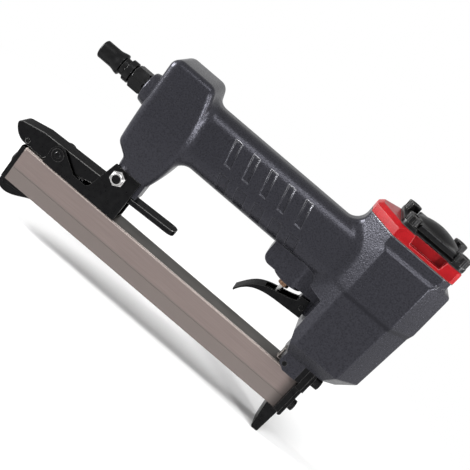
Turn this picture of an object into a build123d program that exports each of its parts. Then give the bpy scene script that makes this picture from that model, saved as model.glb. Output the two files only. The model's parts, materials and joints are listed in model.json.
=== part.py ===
from build123d import *
import os

os.makedirs("parts", exist_ok=True)

# Pneumatic fine-wire stapler, in millimetres: +X forward, +Z up.
# The origin is where a staple leaves the nose tip, on the drive axis.

# Clearances
slip = 0.05  # round pieces that turn or slide in each other
seat = 0.1  # pieces that stand against each other
room = 0.3  # pieces that pass each other

# Socket screws, as shares of the head
socket_share = 0.6
socket_depth_share = 0.5
screw_edge_share = 0.1

# Staple and drive channel
staple_crown = 12.9
staple_wire = 0.95
channel_depth = 1.1
channel_half = channel_depth / 2
channel_width = staple_crown + room
blade_width = staple_crown - seat
blade_thickness = channel_depth - 2 * seat

# Magazine extrusion
magazine_length = 196.5
magazine_bottom = 18.1
magazine_height = 22.2
magazine_wall = 1.35
magazine_roof = 1.6
magazine_inner = channel_width / 2 + slip
magazine_half = magazine_inner + magazine_wall
magazine_top = magazine_bottom + magazine_height
magazine_ceiling = magazine_top - magazine_roof
magazine_front = -channel_half - seat
magazine_rear = magazine_front - magazine_length
magazine_lip = 0.9
magazine_lip_height = 0.7
magazine_groove_rise = 8.6
magazine_groove = 0.2
magazine_groove_width = 0.45
magazine_edge = 0.7

# Head of the cast body
head_gap = 10.2
head_bottom = magazine_top + head_gap
head_bevel = 9.5
head_crease_rise = 47.1
head_crease_height = 4.0
head_shoulder_height = 2.8
head_height = 86.5
head_top = head_bottom + head_height
head_front = 26.8
head_half = 23.0
head_front_cut = 14.0
head_rear = -33.5
head_rear_flat = 6.2
head_lower_inset = 1.0
head_lower_taper = 1.9
head_bottom_front = 16.0
head_bottom_half = 13.5
head_lower_rear = -22.6
head_rounding = 2.0
head_rear_rounding = 3.0
head_lower_rise = 13.5
bay_drop = 5.0
neck_height = 5.2
neck_front = 20.3
neck_half = 20.7
neck_cut = 5.0
head_wall = 5.5
head_bore = head_half - head_wall

# Handle and rear block
handle_rise = 58.1
handle_axis = head_bottom + handle_rise
handle_width = 29.0
handle_height = 36.0
handle_corner = 12.5
handle_wall = 4.5
handle_blend = 8.0
handle_bottom = handle_axis - handle_height / 2
grip_length = 101.0
block_front = head_rear - grip_length
block_length = 26.5
block_rear = block_front - block_length
block_half = 17.5
block_rise = 25.9
block_top = handle_axis + block_rise
block_bulge = 7.9
block_rounding = 5.0
block_corner = 5.6
block_foot_rounding = 3.5
block_brow = 5.6
block_draft = 1.6
grip_rows = 5
grip_pitch = 11.9
grip_depth = 0.7
grip_slope = 0.6
grip_offset = 3.0
grip_rise = 12.5
grip_rear = -107.5
grip_gap = 4.5
grip_margin = 2.5
grip_drop = 1.5
grip_upper_width = 4.4
grip_lower_width = 6.6
grip_bands = (
    (handle_bottom + grip_margin, handle_axis - grip_drop - grip_gap, grip_lower_width),
    (handle_axis - grip_drop, handle_axis + grip_rise, grip_upper_width),
)

# Bracket between the leg and the magazine
sheet = 1.6
bracket_height = 26.6
bracket_top = magazine_top + bracket_height
bracket_floor = magazine_top + sheet
bracket_inner = magazine_half - sheet
bracket_bolt_radius = 2.5
bracket_bolt_rise = 21.1
bracket_bolt_head = 4.2
bracket_bolt_head_height = 4.4
bracket_nut_height = 4.0
bracket_nut_corner = 4.62
bracket_bolt_short = 1.0
bracket_screw_radius = 1.5
bracket_screw_head = 2.7
bracket_screw_head_height = 2.0
bracket_foot = 5.0
bracket_throat = 13.2
bracket_step = 4.9
bracket_setback = 3.4
bracket_screw_pitch = 10.0
bracket_screw_back = 6.0
bracket_ear = 5.0
bracket_ear_angle = 55
bracket_waist = 5.5
leg_length = 20.4
leg_lead = 2.5
leg_front = block_front + leg_lead
leg_rear = leg_front - leg_length
leg_half = bracket_inner - seat
leg_gap = 16.9
leg_bottom = magazine_top + leg_gap
leg_rise = 6.0
leg_step = 0.8
bracket_bolt_back = 14.9
bracket_bolt_x = leg_front - bracket_bolt_back
bracket_bolt_z = magazine_top + bracket_bolt_rise

# Latch lever
latch_inset = 16.4
latch_rise = 8.6
latch_x = magazine_rear + latch_inset
latch_z = magazine_top + latch_rise
latch_pin_radius = 2.2
latch_sheet = 1.5
latch_half = bracket_inner - room
latch_reach = 76.0
latch_bend = -13.8
latch_top = 4.3
latch_tail = ((-26.6, 1.5), (-28.9, -0.9), (-27.6, -3.6), (-24.8, -6.4), (-20.5, -8.1))
latch_belly = ((-6.2, -8.1), (-5.4, -6.3), (8.7, -4.9), (30.7, 1.6))
tongue_half = 5.0
tongue_depth = 3.3
tongue_tip = 4.0
latch_slope = 0.0457
latch_spring_lead = 14.7
latch_spring_x = latch_x + latch_spring_lead
latch_spring_radius = 3.2
latch_peg_height = 2.0
latch_pin_head = 3.7
latch_pin_head_height = 1.4
catch_pin_radius = 1.2
catch_overhang = 2.2
catch_rise = 2.7
catch_x = magazine_rear - catch_overhang
catch_z = magazine_top + catch_rise

# Nose
nose_front = 4.8
nose_plate_thickness = 1.9
nose_thickness = nose_front - nose_plate_thickness
nose_plate_drop = 1.5
nose_rounding = 1.4
skirt_front = -3.7
skirt_rear = -16.7
skirt_half = 13.0
skirt_cut = 4.5
skirt_cut_rise = 3.2
nose_half = 12.6
nose_lower_half = 8.6
nose_top = head_bottom - seat
nose_shoulder_drop = 3.0
nose_shoulder = magazine_top - nose_shoulder_drop
tip_height = magazine_bottom - room
tip_half = 7.9
tip_rear = 5.6
tip_front = nose_thickness - room
tip_end_rear = 2.8
tip_end_front = 1.7
nose_screw_radius = 2.0
nose_screw_y = 9.6
nose_screw_rise = 6.1
nose_screw_z = magazine_top + nose_screw_rise
nose_screw_depth = 7.4
nose_screw_head = 3.4
nose_screw_head_height = 4.2
tip_screw_radius = 1.7
tip_screw_depth = 1.9
tip_screw_head = 3.4
tip_screw_head_height = 3.8
tip_rounding = 1.0
tip_screw_rise = 5.0
tip_screw_z = magazine_bottom + tip_screw_rise
hanger_half = 3.0
hanger_rise = 7.4
hanger_front = -8.0
hanger_tail = 0.9
hanger_rear = skirt_rear - hanger_tail
hanger_pin_radius = 1.5
hanger_pin_x = -13.6
hanger_pin_rise = 3.8
hanger_pin_z = magazine_top + hanger_pin_rise

# Cylinder, piston and driver
head_floor = head_bottom + head_bevel
sleeve_bore = 13.5
sleeve_wall = 1.8
sleeve_radius = sleeve_bore + sleeve_wall
bumper_height = 8.0
piston_height = 11.0
piston_gap = 2.0
valve_chamber = 16.7
sleeve_top = head_top - valve_chamber
piston_top = sleeve_top - piston_gap
piston_bottom = piston_top - piston_height
stroke = piston_bottom - room - bumper_height - head_floor
blade_seat_depth = 6.6
ring_height = 2.4
ring_depth = 1.7
ring_drop = 3.84
collar_height = 5.0
collar_rise = 42.0
collar_bottom = head_bottom + collar_rise
driver_pin_radius = 1.5
driver_pin_rise = 3.3
port_radius = 1.5
port_count = 8

# Head valve and cap
valve_lift = 2.5
valve_plate = 4.0
valve_radius = 12.0
cap_bore = valve_radius + slip
valve_bottom = sleeve_top + slip
valve_shoulder = valve_bottom + valve_plate
gasket = 0.4
cap_bottom = head_top + gasket
cap_height = 7.2
cap_top = cap_bottom + cap_height
cap_roof = 3.6
cap_ceiling = cap_top - cap_roof
cap_boss_bottom = valve_shoulder + valve_lift + room
valve_gap = 2.0
valve_top = cap_ceiling - valve_lift - valve_gap
notch_width = 21.0
notch_depth = 3.6
cover_bottom = cap_top + gasket
cover_plate = 2.2
cover_half_x = 20.4
cover_half_y = 20.0
cover_block = 3.1
cover_block_half = 16.5
cover_block_edge = 0.6
cover_edge_rise = 1.5
cover_dome = 13.6
cover_dome_rise = 3.2
vent_length = 3.2
vent_width = 1.0
cap_bolt_radius = 2.5
cap_bolt_head = 4.1
cap_bolt_x = 16.0
cap_bolt_y = 15.5
cap_bolt_head_height = 4.6
cap_bolt_length = 20.0
cap_bolt_depth = cap_bolt_length - cover_plate - cap_height - 2 * gasket + room
cap_cut = 2.5
cap_edge = 0.8
cap_rear_bevel = 2.4
exhaust_hole = 4.0
cover_corner = 4.6
cover_block_width = 23.4
valve_spring_radius = 7.8
spring_wire = 1.2

# Trigger and its valve
trigger_x = -26.3
trigger_rise = 21.3
trigger_z = head_bottom + trigger_rise
trigger_pin_radius = 1.5
trigger_sheet = 1.4
trigger_inner = 4.0
trigger_half = trigger_inner + trigger_sheet
lug_half = trigger_inner - room
lug_length = 4.3
lug_drop = 2.9
lug_rounding = 2.5
stem_x = -41.7
stem_radius = 1.5
housing_drop = 11.0
housing_bottom = handle_bottom - housing_drop
housing_rounding = 5.0
housing_front = -60.4
housing_half = 8.5
valve_boss = 9.5
valve_boss_drop = 1.8
valve_boss_bottom = housing_bottom - valve_boss_drop
valve_bore = 5.6
bushing_reach = 4.2
bushing_tip = valve_boss_bottom - bushing_reach
bushing_collar = 3.3
bushing_recess = 2.4
bushing_top = handle_bottom + handle_wall - bushing_recess
bushing_floor = 4.2
chamber_radius = 3.6
spool_height = 2.5
valve_cap_height = 1.4
valve_seal_height = 1.8
valve_seal_depth = 0.9
trigger_top = ((1.4, 5.8), (-3.8, 5.2))
trigger_back = ((-4.5, 1.5), (-12.0, -1.0), (-20.5, -3.2), (-27.5, -6.8), (-31.8, -11.6), (-35.1, -16.8))
trigger_belly = ((-34.2, -17.5), (-31.4, -12.8), (-28.0, -9.8), (-22.5, -7.5), (-16.5, -6.4), (-5.2, -5.6))
trigger_web = 3
trigger_heel = (2.9, -5.2)

# Air inlet
inlet_offset = 0.4
inlet_axis = handle_axis + inlet_offset
inlet_boss = 10.5
inlet_boss_length = 5.2
inlet_boss_root = 2.0
inlet_boss_taper = 14
inlet_boss_rounding = 1.4
inlet_thread = 4.9
plug_bore = 3.2
plug_tip = 5.3
plug_bulge = 6.3
plug_neck = 4.9
plug_hex = 7.25
plug_length = 31.0
plug_hex_length = 8.2
plug_hex_bevel = 0.7
plug_collar_length = 4.6
plug_groove_length = 2.4
plug_thread_length = 12.0
plug_seal_height = 0.6

# Rail, pusher and end cap
rail_wall = 1.1
rail_half = staple_crown / 2 - staple_wire + seat
rail_top = magazine_ceiling - staple_wire - 2 * slip - room
rail_flange = magazine_inner - seat - slip
rail_bottom = magazine_bottom + magazine_lip_height + seat
rail_front = magazine_front - seat
rod_radius = 1.5
rod_z = magazine_bottom + 10.9
rail_slot = 1.6
rail_web = 1.5
pusher_length = 17.0
pusher_front = rail_front - room
pusher_rear = pusher_front - pusher_length
pusher_drop = 4.0
pusher_spring_radius = 2.9
pusher_spring_wire = 0.9
end_cap_thickness = 2.8
end_cap_front = magazine_rear - seat
end_cap_rear = end_cap_front - end_cap_thickness
end_cap_half = magazine_half - room
end_cap_plug = 7.5
end_cap_drop = 0.4
end_cap_top = magazine_top - end_cap_drop
end_cap_tab = 3.9
rod_seat = 3.0
end_screw_radius = 1.2
end_screw_length = 5.0
end_screw_head = 3.8
end_screw_head_height = 2.0
end_screw_rounding = 1.4
lip_half = 6.4
lip_points = ((0.0, -3.4), (2.4, -6.4), (5.4, -7.0), (12.2, -5.3), (17.4, -2.5), (21.8, -0.4))


# Socket-head screw standing on the origin, head up, shank down
def socket_screw(shank_radius, shank_length, head_radius, head_height):
    with BuildPart() as screw:
        with BuildSketch():
            Circle(head_radius)
        extrude(amount=head_height)
        chamfer(screw.faces().sort_by(Axis.Z)[-1].edges(), length=head_height * screw_edge_share)
        with BuildSketch(Plane.XY.offset(head_height)):
            RegularPolygon(radius=head_radius * socket_share, side_count=6)
        extrude(amount=-head_height * socket_depth_share, mode=Mode.SUBTRACT)
        with BuildSketch():
            Circle(shank_radius)
        extrude(amount=-shank_length)
    return screw.part


# Ring of square section about the vertical axis
def seal_ring(bottom, inner, outer, height):
    with BuildPart() as ring:
        with BuildSketch(Plane.XY.offset(bottom)):
            Circle(outer)
            Circle(inner, mode=Mode.SUBTRACT)
        extrude(amount=height)
    return ring.part


# Outline of the head at one level, open towards the handle
def head_section(level, front, half, cut):
    far = block_rear - head_height
    with BuildSketch(Plane.XY.offset(level)) as section:
        with BuildLine():
            Polyline(
                (front, cut - half),
                (front, half - cut),
                (front - cut, half),
                (far, half),
                (far, -half),
                (front - cut, -half),
                close=True,
            )
        make_face()
    return section.sketch


# Cast body: the tapered envelope that trims the head
lower_half = head_half - head_lower_inset
lower_front = head_front - head_lower_inset
lower_cut = head_front_cut - head_lower_inset / 2
crease = head_bottom + head_crease_rise
shoulder = head_top - neck_height - head_shoulder_height
with BuildPart() as envelope:
    add(head_section(head_bottom, head_bottom_front, head_bottom_half, head_bottom_half * 2 / 3))
    add(head_section(head_floor, lower_front - head_lower_taper, lower_half, lower_cut))
    add(head_section(crease, lower_front, lower_half, lower_cut))
    add(head_section(crease + head_crease_height, head_front, head_half, head_front_cut))
    add(head_section(shoulder, head_front, head_half, head_front_cut))
    add(head_section(shoulder + head_shoulder_height, neck_front, neck_half, neck_cut))
    add(head_section(head_top, neck_front, neck_half, neck_cut))
    loft(ruled=True)
    fillet(
        envelope.edges().filter_by(
            lambda e: e.center().X > block_rear - head_height / 2 - head_front
            and head_bottom < e.center().Z < head_top
            and e.center().Z > head_bottom + slip
            and e.center().Z < head_top - slip
        ),
        radius=head_rounding,
    )

# Cast body: the rear block and the upper leg
leg_root = bracket_top + room
with BuildPart() as rear_block:
    with BuildSketch(Plane.XZ) as rear_block_profile:
        with BuildLine():
            ThreePointArc(
                (block_front, block_top),
                (block_front + block_bulge, handle_axis - block_rise / 3),
                (leg_front, leg_root),
            )
            Line((leg_front, leg_root), (leg_rear, leg_root))
            FilletPolyline(
                (leg_rear, leg_root),
                (leg_rear - slip, leg_root + leg_rise),
                (block_rear + block_draft, leg_root + 2 * leg_rise),
                (block_rear, block_top),
                (block_front, block_top),
                radius=(block_foot_rounding, block_corner, block_corner),
            )
        make_face()
        fillet(rear_block_profile.vertices().sort_by_distance((block_front, block_top))[0], radius=block_brow)
    extrude(amount=2 * block_half, both=True)
    with BuildSketch(Plane.YZ):
        with BuildLine():
            Polyline(
                (block_half, handle_axis),
                (block_half, block_top + room),
                (-block_half, block_top + room),
                (-block_half, handle_axis),
            )
            TangentArc((block_half, handle_axis), (magazine_half + seat, leg_root), tangent=(0, -1))
            TangentArc((-block_half, handle_axis), (-magazine_half - seat, leg_root), tangent=(0, -1))
            Line((magazine_half + seat, leg_root), (-magazine_half - seat, leg_root))
        make_face()
    extrude(amount=2 * grip_length, both=True, mode=Mode.INTERSECT)
    fillet(
        rear_block.edges().filter_by(lambda e: abs(e.center().Y) > leg_half and e.center().Z > leg_root + slip),
        radius=block_rounding,
    )

# Slanted grip grooves that follow the handle's skin, with sloping walls
with BuildPart() as grip_grooves:
    with BuildSketch(Plane.XZ):
        for place in range(grip_rows):
            left = grip_rear + place * grip_pitch
            for low, high, width in grip_bands:
                lean_low = left - grip_offset * (low - handle_axis) / grip_rise
                lean_high = left - grip_offset * (high - handle_axis) / grip_rise
                with BuildLine():
                    Polyline(
                        (lean_low, low),
                        (lean_low + width, low),
                        (lean_high + width, high),
                        (lean_high, high),
                        close=True,
                    )
                make_face()
    extrude(amount=handle_width, both=True)
    with BuildSketch(Plane.YZ):
        with Locations((0, handle_axis)):
            RectangleRounded(
                handle_width - 2 * grip_depth, handle_height - 2 * grip_depth, handle_corner - grip_depth
            )
    extrude(amount=block_rear, mode=Mode.SUBTRACT)
    chamfer(grip_grooves.edges(Select.NEW), length=grip_slope)

with BuildPart() as gun_body:
    stock_half = head_half + head_front_cut
    with BuildSketch(Plane.XY.offset(head_bottom - head_bevel)):
        with BuildLine():
            Polyline(
                (head_front + head_front_cut, -stock_half),
                (head_front + head_front_cut, stock_half),
                (head_rear + stock_half - head_rear_flat, stock_half),
                (head_rear, head_rear_flat),
                (head_rear, -head_rear_flat),
                (head_rear + stock_half - head_rear_flat, -stock_half),
                close=True,
            )
        make_face()
    extrude(amount=head_height + 2 * head_bevel)
    rear_edges = gun_body.edges().filter_by(Axis.Z).filter_by(lambda e: e.center().X < head_rear + slip)
    fillet(rear_edges, radius=head_rear_rounding)
    add(rear_block.part)
    with BuildSketch(Plane.YZ.offset(block_front - block_length / 2)):
        with Locations((0, handle_axis)):
            RectangleRounded(handle_width, handle_height, handle_corner)
    extrude(amount=grip_length + block_length / 2 + handle_width / 2)
    seams = gun_body.edges(Select.NEW)
    fillet(seams, radius=handle_blend)
    add(envelope.part, mode=Mode.INTERSECT)
    arris_x = head_rear + head_half - head_rear_flat
    rear_arrises = gun_body.edges().filter_by(
        lambda e: abs(e.center().X - arris_x) < head_shoulder_height + room
        and neck_half - slip < abs(e.center().Y) + room
        and e.length > head_lower_inset
    )
    fillet(rear_arrises, radius=head_rounding)
    # room for the trigger behind the lower head
    with BuildSketch(Plane.XZ):
        with BuildLine():
            Polyline(
                (housing_front, head_bottom - room),
                (skirt_rear - room, head_bottom - room),
                (head_lower_rear, head_bottom + head_lower_rise),
                (head_lower_rear, handle_bottom - bay_drop),
                (housing_front, handle_bottom - bay_drop),
                close=True,
            )
        make_face()
    extrude(amount=head_half, both=True, mode=Mode.SUBTRACT)
    # trigger housing and valve boss
    with BuildSketch(Plane.XZ):
        with BuildLine():
            FilletPolyline(
                (housing_front, handle_axis),
                (housing_front, housing_bottom),
                (head_lower_rear + room, housing_bottom),
                radius=housing_rounding,
            )
            Polyline(
                (head_lower_rear + room, housing_bottom),
                (head_lower_rear + room, handle_axis),
                (housing_front, handle_axis),
            )
        make_face()
    extrude(amount=housing_half, both=True)
    with BuildSketch(Plane.XY.offset(valve_boss_bottom)):
        with Locations((stem_x, 0)):
            Circle(valve_boss)
    extrude(amount=handle_axis - valve_boss_bottom)
    # lug that carries the trigger pin
    with BuildSketch(Plane.XZ):
        with BuildLine():
            FilletPolyline(
                (trigger_x - lug_length, housing_bottom + room),
                (trigger_x - lug_length, trigger_z - lug_drop),
                (head_lower_rear + room, trigger_z - lug_drop),
                radius=lug_rounding,
            )
            Polyline(
                (head_lower_rear + room, trigger_z - lug_drop),
                (head_lower_rear + room, housing_bottom + room),
                (trigger_x - lug_length, housing_bottom + room),
            )
        make_face()
    extrude(amount=lug_half, both=True)
    # skirt over the front of the magazine
    with BuildSketch(Plane.XZ):
        with BuildLine():
            Polyline(
                (skirt_rear, head_floor),
                (skirt_rear, magazine_top + skirt_cut_rise),
                (skirt_rear + skirt_cut, magazine_top),
                (skirt_front, magazine_top),
                (skirt_front, head_floor),
                close=True,
            )
        make_face()
    extrude(amount=skirt_half, both=True)
    # leg between the bracket's cheeks
    with BuildSketch(Plane.XZ):
        with BuildLine():
            Polyline(
                (leg_rear + leg_step, leg_root + room),
                (leg_rear + leg_step, leg_bottom),
                (leg_front - leg_step, leg_bottom),
                (leg_front - leg_step, leg_root + room),
                close=True,
            )
        make_face()
    extrude(amount=leg_half, both=True)
    # inlet boss
    with BuildSketch(Plane.YZ.offset(block_rear + inlet_boss_root)):
        with Locations((0, inlet_axis)):
            Circle(inlet_boss)
    extrude(amount=-inlet_boss_length - inlet_boss_root, taper=inlet_boss_taper)
    fillet(gun_body.faces().sort_by(Axis.X)[0].edges(), radius=inlet_boss_rounding)
    # cylinder bore, driver slot and the air chamber in the handle
    with BuildSketch(Plane.XY.offset(head_floor)):
        Circle(head_bore)
    extrude(amount=head_height, mode=Mode.SUBTRACT)
    with BuildSketch(Plane.XY.offset(head_bottom)):
        Rectangle(2 * channel_depth, channel_width + room)
    extrude(amount=head_bevel, both=True, mode=Mode.SUBTRACT)
    with BuildSketch(Plane.YZ):
        with Locations((0, handle_axis)):
            RectangleRounded(
                handle_width - 2 * handle_wall, handle_height - 2 * handle_wall, handle_corner - handle_wall
            )
    extrude(amount=block_rear + 2 * handle_wall, mode=Mode.SUBTRACT)
    with BuildSketch(Plane.YZ.offset(block_rear + handle_width)):
        with Locations((0, inlet_axis)):
            Circle(inlet_thread + slip)
    extrude(amount=-2 * handle_width, mode=Mode.SUBTRACT)
    with BuildSketch(Plane.XY.offset(valve_boss_bottom)):
        with Locations((stem_x, 0)):
            Circle(valve_bore)
    extrude(amount=handle_axis - valve_boss_bottom, mode=Mode.SUBTRACT)
    # holes for bolts, screws and pins
    with BuildSketch(Plane.XY.offset(head_top)):
        with GridLocations(2 * cap_bolt_x, 2 * cap_bolt_y, 2, 2):
            Circle(cap_bolt_radius + slip)
    extrude(amount=-cap_bolt_depth, mode=Mode.SUBTRACT)
    with BuildSketch(Plane.XZ):
        with Locations((trigger_x, trigger_z)):
            Circle(trigger_pin_radius + slip)
        with Locations((hanger_pin_x, hanger_pin_z)):
            Circle(hanger_pin_radius + slip)
        with Locations((bracket_bolt_x, bracket_bolt_z)):
            Circle(bracket_bolt_radius + slip)
    extrude(amount=head_half, both=True, mode=Mode.SUBTRACT)
    with BuildSketch(Plane.YZ.offset(skirt_front)):
        with Locations((nose_screw_y, nose_screw_z), (-nose_screw_y, nose_screw_z)):
            Circle(nose_screw_radius + slip)
    extrude(amount=-nose_screw_depth - room, mode=Mode.SUBTRACT)
    with BuildSketch(Plane.XZ):
        with BuildLine():
            Polyline(
                (skirt_rear - room, magazine_top - room),
                (hanger_front + room, magazine_top - room),
                (hanger_front + room, magazine_top + hanger_rise + room),
                (skirt_rear - room, magazine_top + hanger_rise + room),
                close=True,
            )
        make_face()
    extrude(amount=hanger_half + seat, both=True, mode=Mode.SUBTRACT)
    add(grip_grooves.part, mode=Mode.SUBTRACT)
gun_body.part.label = "gun_body"
export_step(gun_body.part, "parts/gun_body.step")


# Outline shared by the cap and its gasket
def cap_section(level, inset):
    with BuildSketch(Plane.XY.offset(level)) as section:
        with BuildLine():
            Polyline(
                (neck_front, neck_half - cap_cut),
                (neck_front - cap_cut, neck_half),
                (head_rear + neck_half - head_rear_flat, neck_half),
                (head_rear, head_rear_flat),
                (head_rear, -head_rear_flat),
                (head_rear + neck_half - head_rear_flat, -neck_half),
                (neck_front - cap_cut, -neck_half),
                (neck_front, cap_cut - neck_half),
                close=True,
            )
        make_face()
        offset(amount=-inset, kind=Kind.INTERSECTION)
        with GridLocations(2 * cap_bolt_x, 2 * cap_bolt_y, 2, 2):
            Circle(cap_bolt_radius + seat, mode=Mode.SUBTRACT)
    return section.sketch


with BuildPart() as cap_gasket:
    add(cap_section(head_top, seat))
    extrude(amount=gasket)
    with BuildSketch(Plane.XY.offset(head_top)):
        Circle(head_bore)
    extrude(amount=gasket, mode=Mode.SUBTRACT)
cap_gasket.part.label = "cap_gasket"
export_step(cap_gasket.part, "parts/cap_gasket.step")

# Red cap: guides the head valve and lets the exhaust out through side notches
with BuildPart() as cylinder_cap:
    add(cap_section(cap_bottom, 0))
    extrude(amount=cap_height)
    rear_rim = cylinder_cap.faces().sort_by(Axis.Z)[-1].outer_wire().edges()
    chamfer(rear_rim.filter_by(lambda e: e.center().X < -cover_half_x), length=cap_rear_bevel)
    front_rim = cylinder_cap.faces().sort_by(Axis.Z)[-1].outer_wire().edges()
    chamfer(front_rim.filter_by(lambda e: e.center().X > -cover_half_x), length=cap_edge)
    with BuildSketch(Plane.XY.offset(cap_boss_bottom)):
        Circle(head_bore - seat)
    extrude(amount=cap_bottom - cap_boss_bottom)
    with BuildSketch(Plane.XY.offset(cap_boss_bottom)):
        Circle(cap_bore)
    extrude(amount=cap_ceiling - cap_boss_bottom, mode=Mode.SUBTRACT)
    with BuildSketch(Plane.XY.offset(cap_top)):
        Circle(exhaust_hole)
    extrude(amount=cap_ceiling - cap_top, mode=Mode.SUBTRACT)
    for side in (1, -1):
        with BuildSketch(Plane.XZ.offset(side * neck_half)):
            with BuildLine():
                Polyline(
                    (-notch_width / 2, cap_top),
                    (notch_width / 2, cap_top),
                    (notch_width / 2 - cap_edge, cap_bottom + cap_height / 4),
                    (cap_edge - notch_width / 2, cap_bottom + cap_height / 4),
                    close=True,
                )
            make_face()
        extrude(amount=-side * notch_depth, mode=Mode.SUBTRACT)
cylinder_cap.part.label = "cylinder_cap"
export_step(cylinder_cap.part, "parts/cylinder_cap.step")

with BuildPart() as cover_gasket:
    with BuildSketch(Plane.XY.offset(cap_top)):
        RectangleRounded(2 * cover_half_x - 2 * seat, 2 * cover_half_y - 2 * seat, cover_corner)
        Rectangle(notch_width, 2 * cover_half_y, mode=Mode.SUBTRACT)
        with GridLocations(2 * cap_bolt_x, 2 * cap_bolt_y, 2, 2):
            Circle(cap_bolt_radius + seat, mode=Mode.SUBTRACT)
    extrude(amount=gasket)
cover_gasket.part.label = "cover_gasket"
export_step(cover_gasket.part, "parts/cover_gasket.step")

# Exhaust cover: corner lugs, a raised middle and a low dome, hollow below
with BuildPart() as exhaust_cover:
    with BuildSketch(Plane.XY.offset(cover_bottom)):
        RectangleRounded(2 * cover_half_x, 2 * cover_half_y, cover_corner)
    extrude(amount=cover_plate)
    with BuildSketch(Plane.XY.offset(cover_bottom)):
        RectangleRounded(cover_block_width, 2 * cover_block_half, cap_edge)
    extrude(amount=cover_plate + cover_block)
    chamfer(exhaust_cover.faces().sort_by(Axis.Z)[-1].edges(), length=cover_block_edge)
    # sloping edges between the lugs
    plate_top = cover_bottom + cover_plate
    with BuildSketch(Plane.YZ):
        for side in (1, -1):
            with BuildLine():
                Polyline(
                    (side * cover_block_half, plate_top),
                    (side * cover_half_y, plate_top - cover_edge_rise),
                    (side * cover_half_y, plate_top),
                    close=True,
                )
            make_face()
    extrude(amount=cover_block_width / 2, both=True, mode=Mode.SUBTRACT)
    dome_base = plate_top + cover_block
    with BuildSketch(Plane.XZ):
        with BuildLine():
            Line((0, cover_bottom + cap_edge), (cover_dome, cover_bottom + cap_edge))
            Line((cover_dome, cover_bottom + cap_edge), (cover_dome, dome_base))
            TangentArc((0, dome_base + cover_dome_rise), (cover_dome, dome_base), tangent=(1, 0))
            Line((0, dome_base + cover_dome_rise), (0, cover_bottom + cap_edge))
        make_face()
    revolve(axis=Axis.Z)
    with BuildSketch(Plane.XY.offset(dome_base + cover_dome_rise)):
        SlotOverall(vent_length, vent_width)
    extrude(amount=-cap_edge, mode=Mode.SUBTRACT)
    with BuildSketch(Plane.XY.offset(cover_bottom)):
        Rectangle(notch_width - 2 * cover_plate, 2 * (cover_block_half - cover_plate))
    extrude(amount=cover_block, mode=Mode.SUBTRACT)
    with BuildSketch(Plane.XY.offset(cover_bottom)):
        Rectangle(2 * exhaust_hole, 2 * cover_half_y)
    extrude(amount=cover_plate - cover_edge_rise - room, mode=Mode.SUBTRACT)
    with BuildSketch(Plane.XY.offset(cover_bottom)):
        with GridLocations(2 * cap_bolt_x, 2 * cap_bolt_y, 2, 2):
            Circle(cap_bolt_radius + seat)
    extrude(amount=cover_plate, mode=Mode.SUBTRACT)
exhaust_cover.part.label = "exhaust_cover"
export_step(exhaust_cover.part, "parts/exhaust_cover.step")

cap_bolt = socket_screw(cap_bolt_radius, cap_bolt_length, cap_bolt_head, cap_bolt_head_height)
with BuildPart() as cap_bolts:
    with Locations((0, 0, cover_bottom + cover_plate)):
        with GridLocations(2 * cap_bolt_x, 2 * cap_bolt_y, 2, 2):
            add(cap_bolt)
cap_bolts.part.label = "cap_bolts"
export_step(cap_bolts.part, "parts/cap_bolts.step")

# Cylinder sleeve with a sealing collar and a ring of return ports
collar_groove = collar_bottom + (collar_height - ring_height) / 2
with BuildPart() as cylinder_sleeve:
    with BuildSketch(Plane.XY.offset(head_floor)):
        Circle(sleeve_radius)
    extrude(amount=sleeve_top - head_floor)
    with BuildSketch(Plane.XY.offset(collar_bottom)):
        Circle(head_bore - seat)
    extrude(amount=collar_height)
    add(seal_ring(collar_groove, head_bore - ring_depth, head_bore + room, ring_height), mode=Mode.SUBTRACT)
    with BuildSketch(Plane.XY.offset(head_floor)):
        Circle(sleeve_bore)
    extrude(amount=sleeve_top - head_floor, mode=Mode.SUBTRACT)
    with BuildSketch(Plane.XZ) as port:
        with Locations((0, head_floor + 2 * bumper_height)):
            Circle(port_radius)
    for turn in range(port_count // 2):
        add(
            extrude(port.sketch, amount=head_half, both=True, mode=Mode.PRIVATE),
            rotation=(0, 0, turn * 360 / port_count),
            mode=Mode.SUBTRACT,
        )
cylinder_sleeve.part.label = "cylinder_sleeve"
export_step(cylinder_sleeve.part, "parts/cylinder_sleeve.step")

with BuildPart() as cylinder_seals:
    add(seal_ring(collar_groove + seat, head_bore - ring_depth + seat, head_bore - slip, ring_height - 2 * seat))
cylinder_seals.part.label = "cylinder_seals"
export_step(cylinder_seals.part, "parts/cylinder_seals.step")

with BuildPart() as bumper:
    with BuildSketch(Plane.XY.offset(head_floor)):
        Circle(sleeve_bore - seat)
    extrude(amount=bumper_height)
    chamfer(bumper.faces().sort_by(Axis.Z)[-1].edges(), length=bumper_height / 5)
    with BuildSketch(Plane.XY.offset(head_floor)):
        Rectangle(2 * channel_depth, channel_width + room)
    extrude(amount=bumper_height, mode=Mode.SUBTRACT)
bumper.part.label = "bumper"
export_step(bumper.part, "parts/bumper.step")

# Piston, with the driver blade pinned in its underside
blade_seat = piston_bottom + blade_seat_depth
driver_pin_z = piston_bottom + driver_pin_rise
ring_bottom = piston_top - ring_drop
piston_radius = sleeve_bore - room
with BuildPart() as piston:
    with BuildSketch(Plane.XY.offset(piston_bottom)):
        Circle(piston_radius)
    extrude(amount=piston_height)
    add(seal_ring(ring_bottom, piston_radius - ring_depth, sleeve_bore + room, ring_height), mode=Mode.SUBTRACT)
    with BuildSketch(Plane.XY.offset(piston_bottom)):
        Rectangle(blade_thickness + 2 * slip, blade_width + 2 * slip)
    extrude(amount=blade_seat - piston_bottom, mode=Mode.SUBTRACT)
    with BuildSketch(Plane.YZ):
        with Locations((0, driver_pin_z)):
            Circle(driver_pin_radius + slip)
    extrude(amount=sleeve_radius, both=True, mode=Mode.SUBTRACT)
piston.part.label = "piston"
export_step(piston.part, "parts/piston.step")

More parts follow.
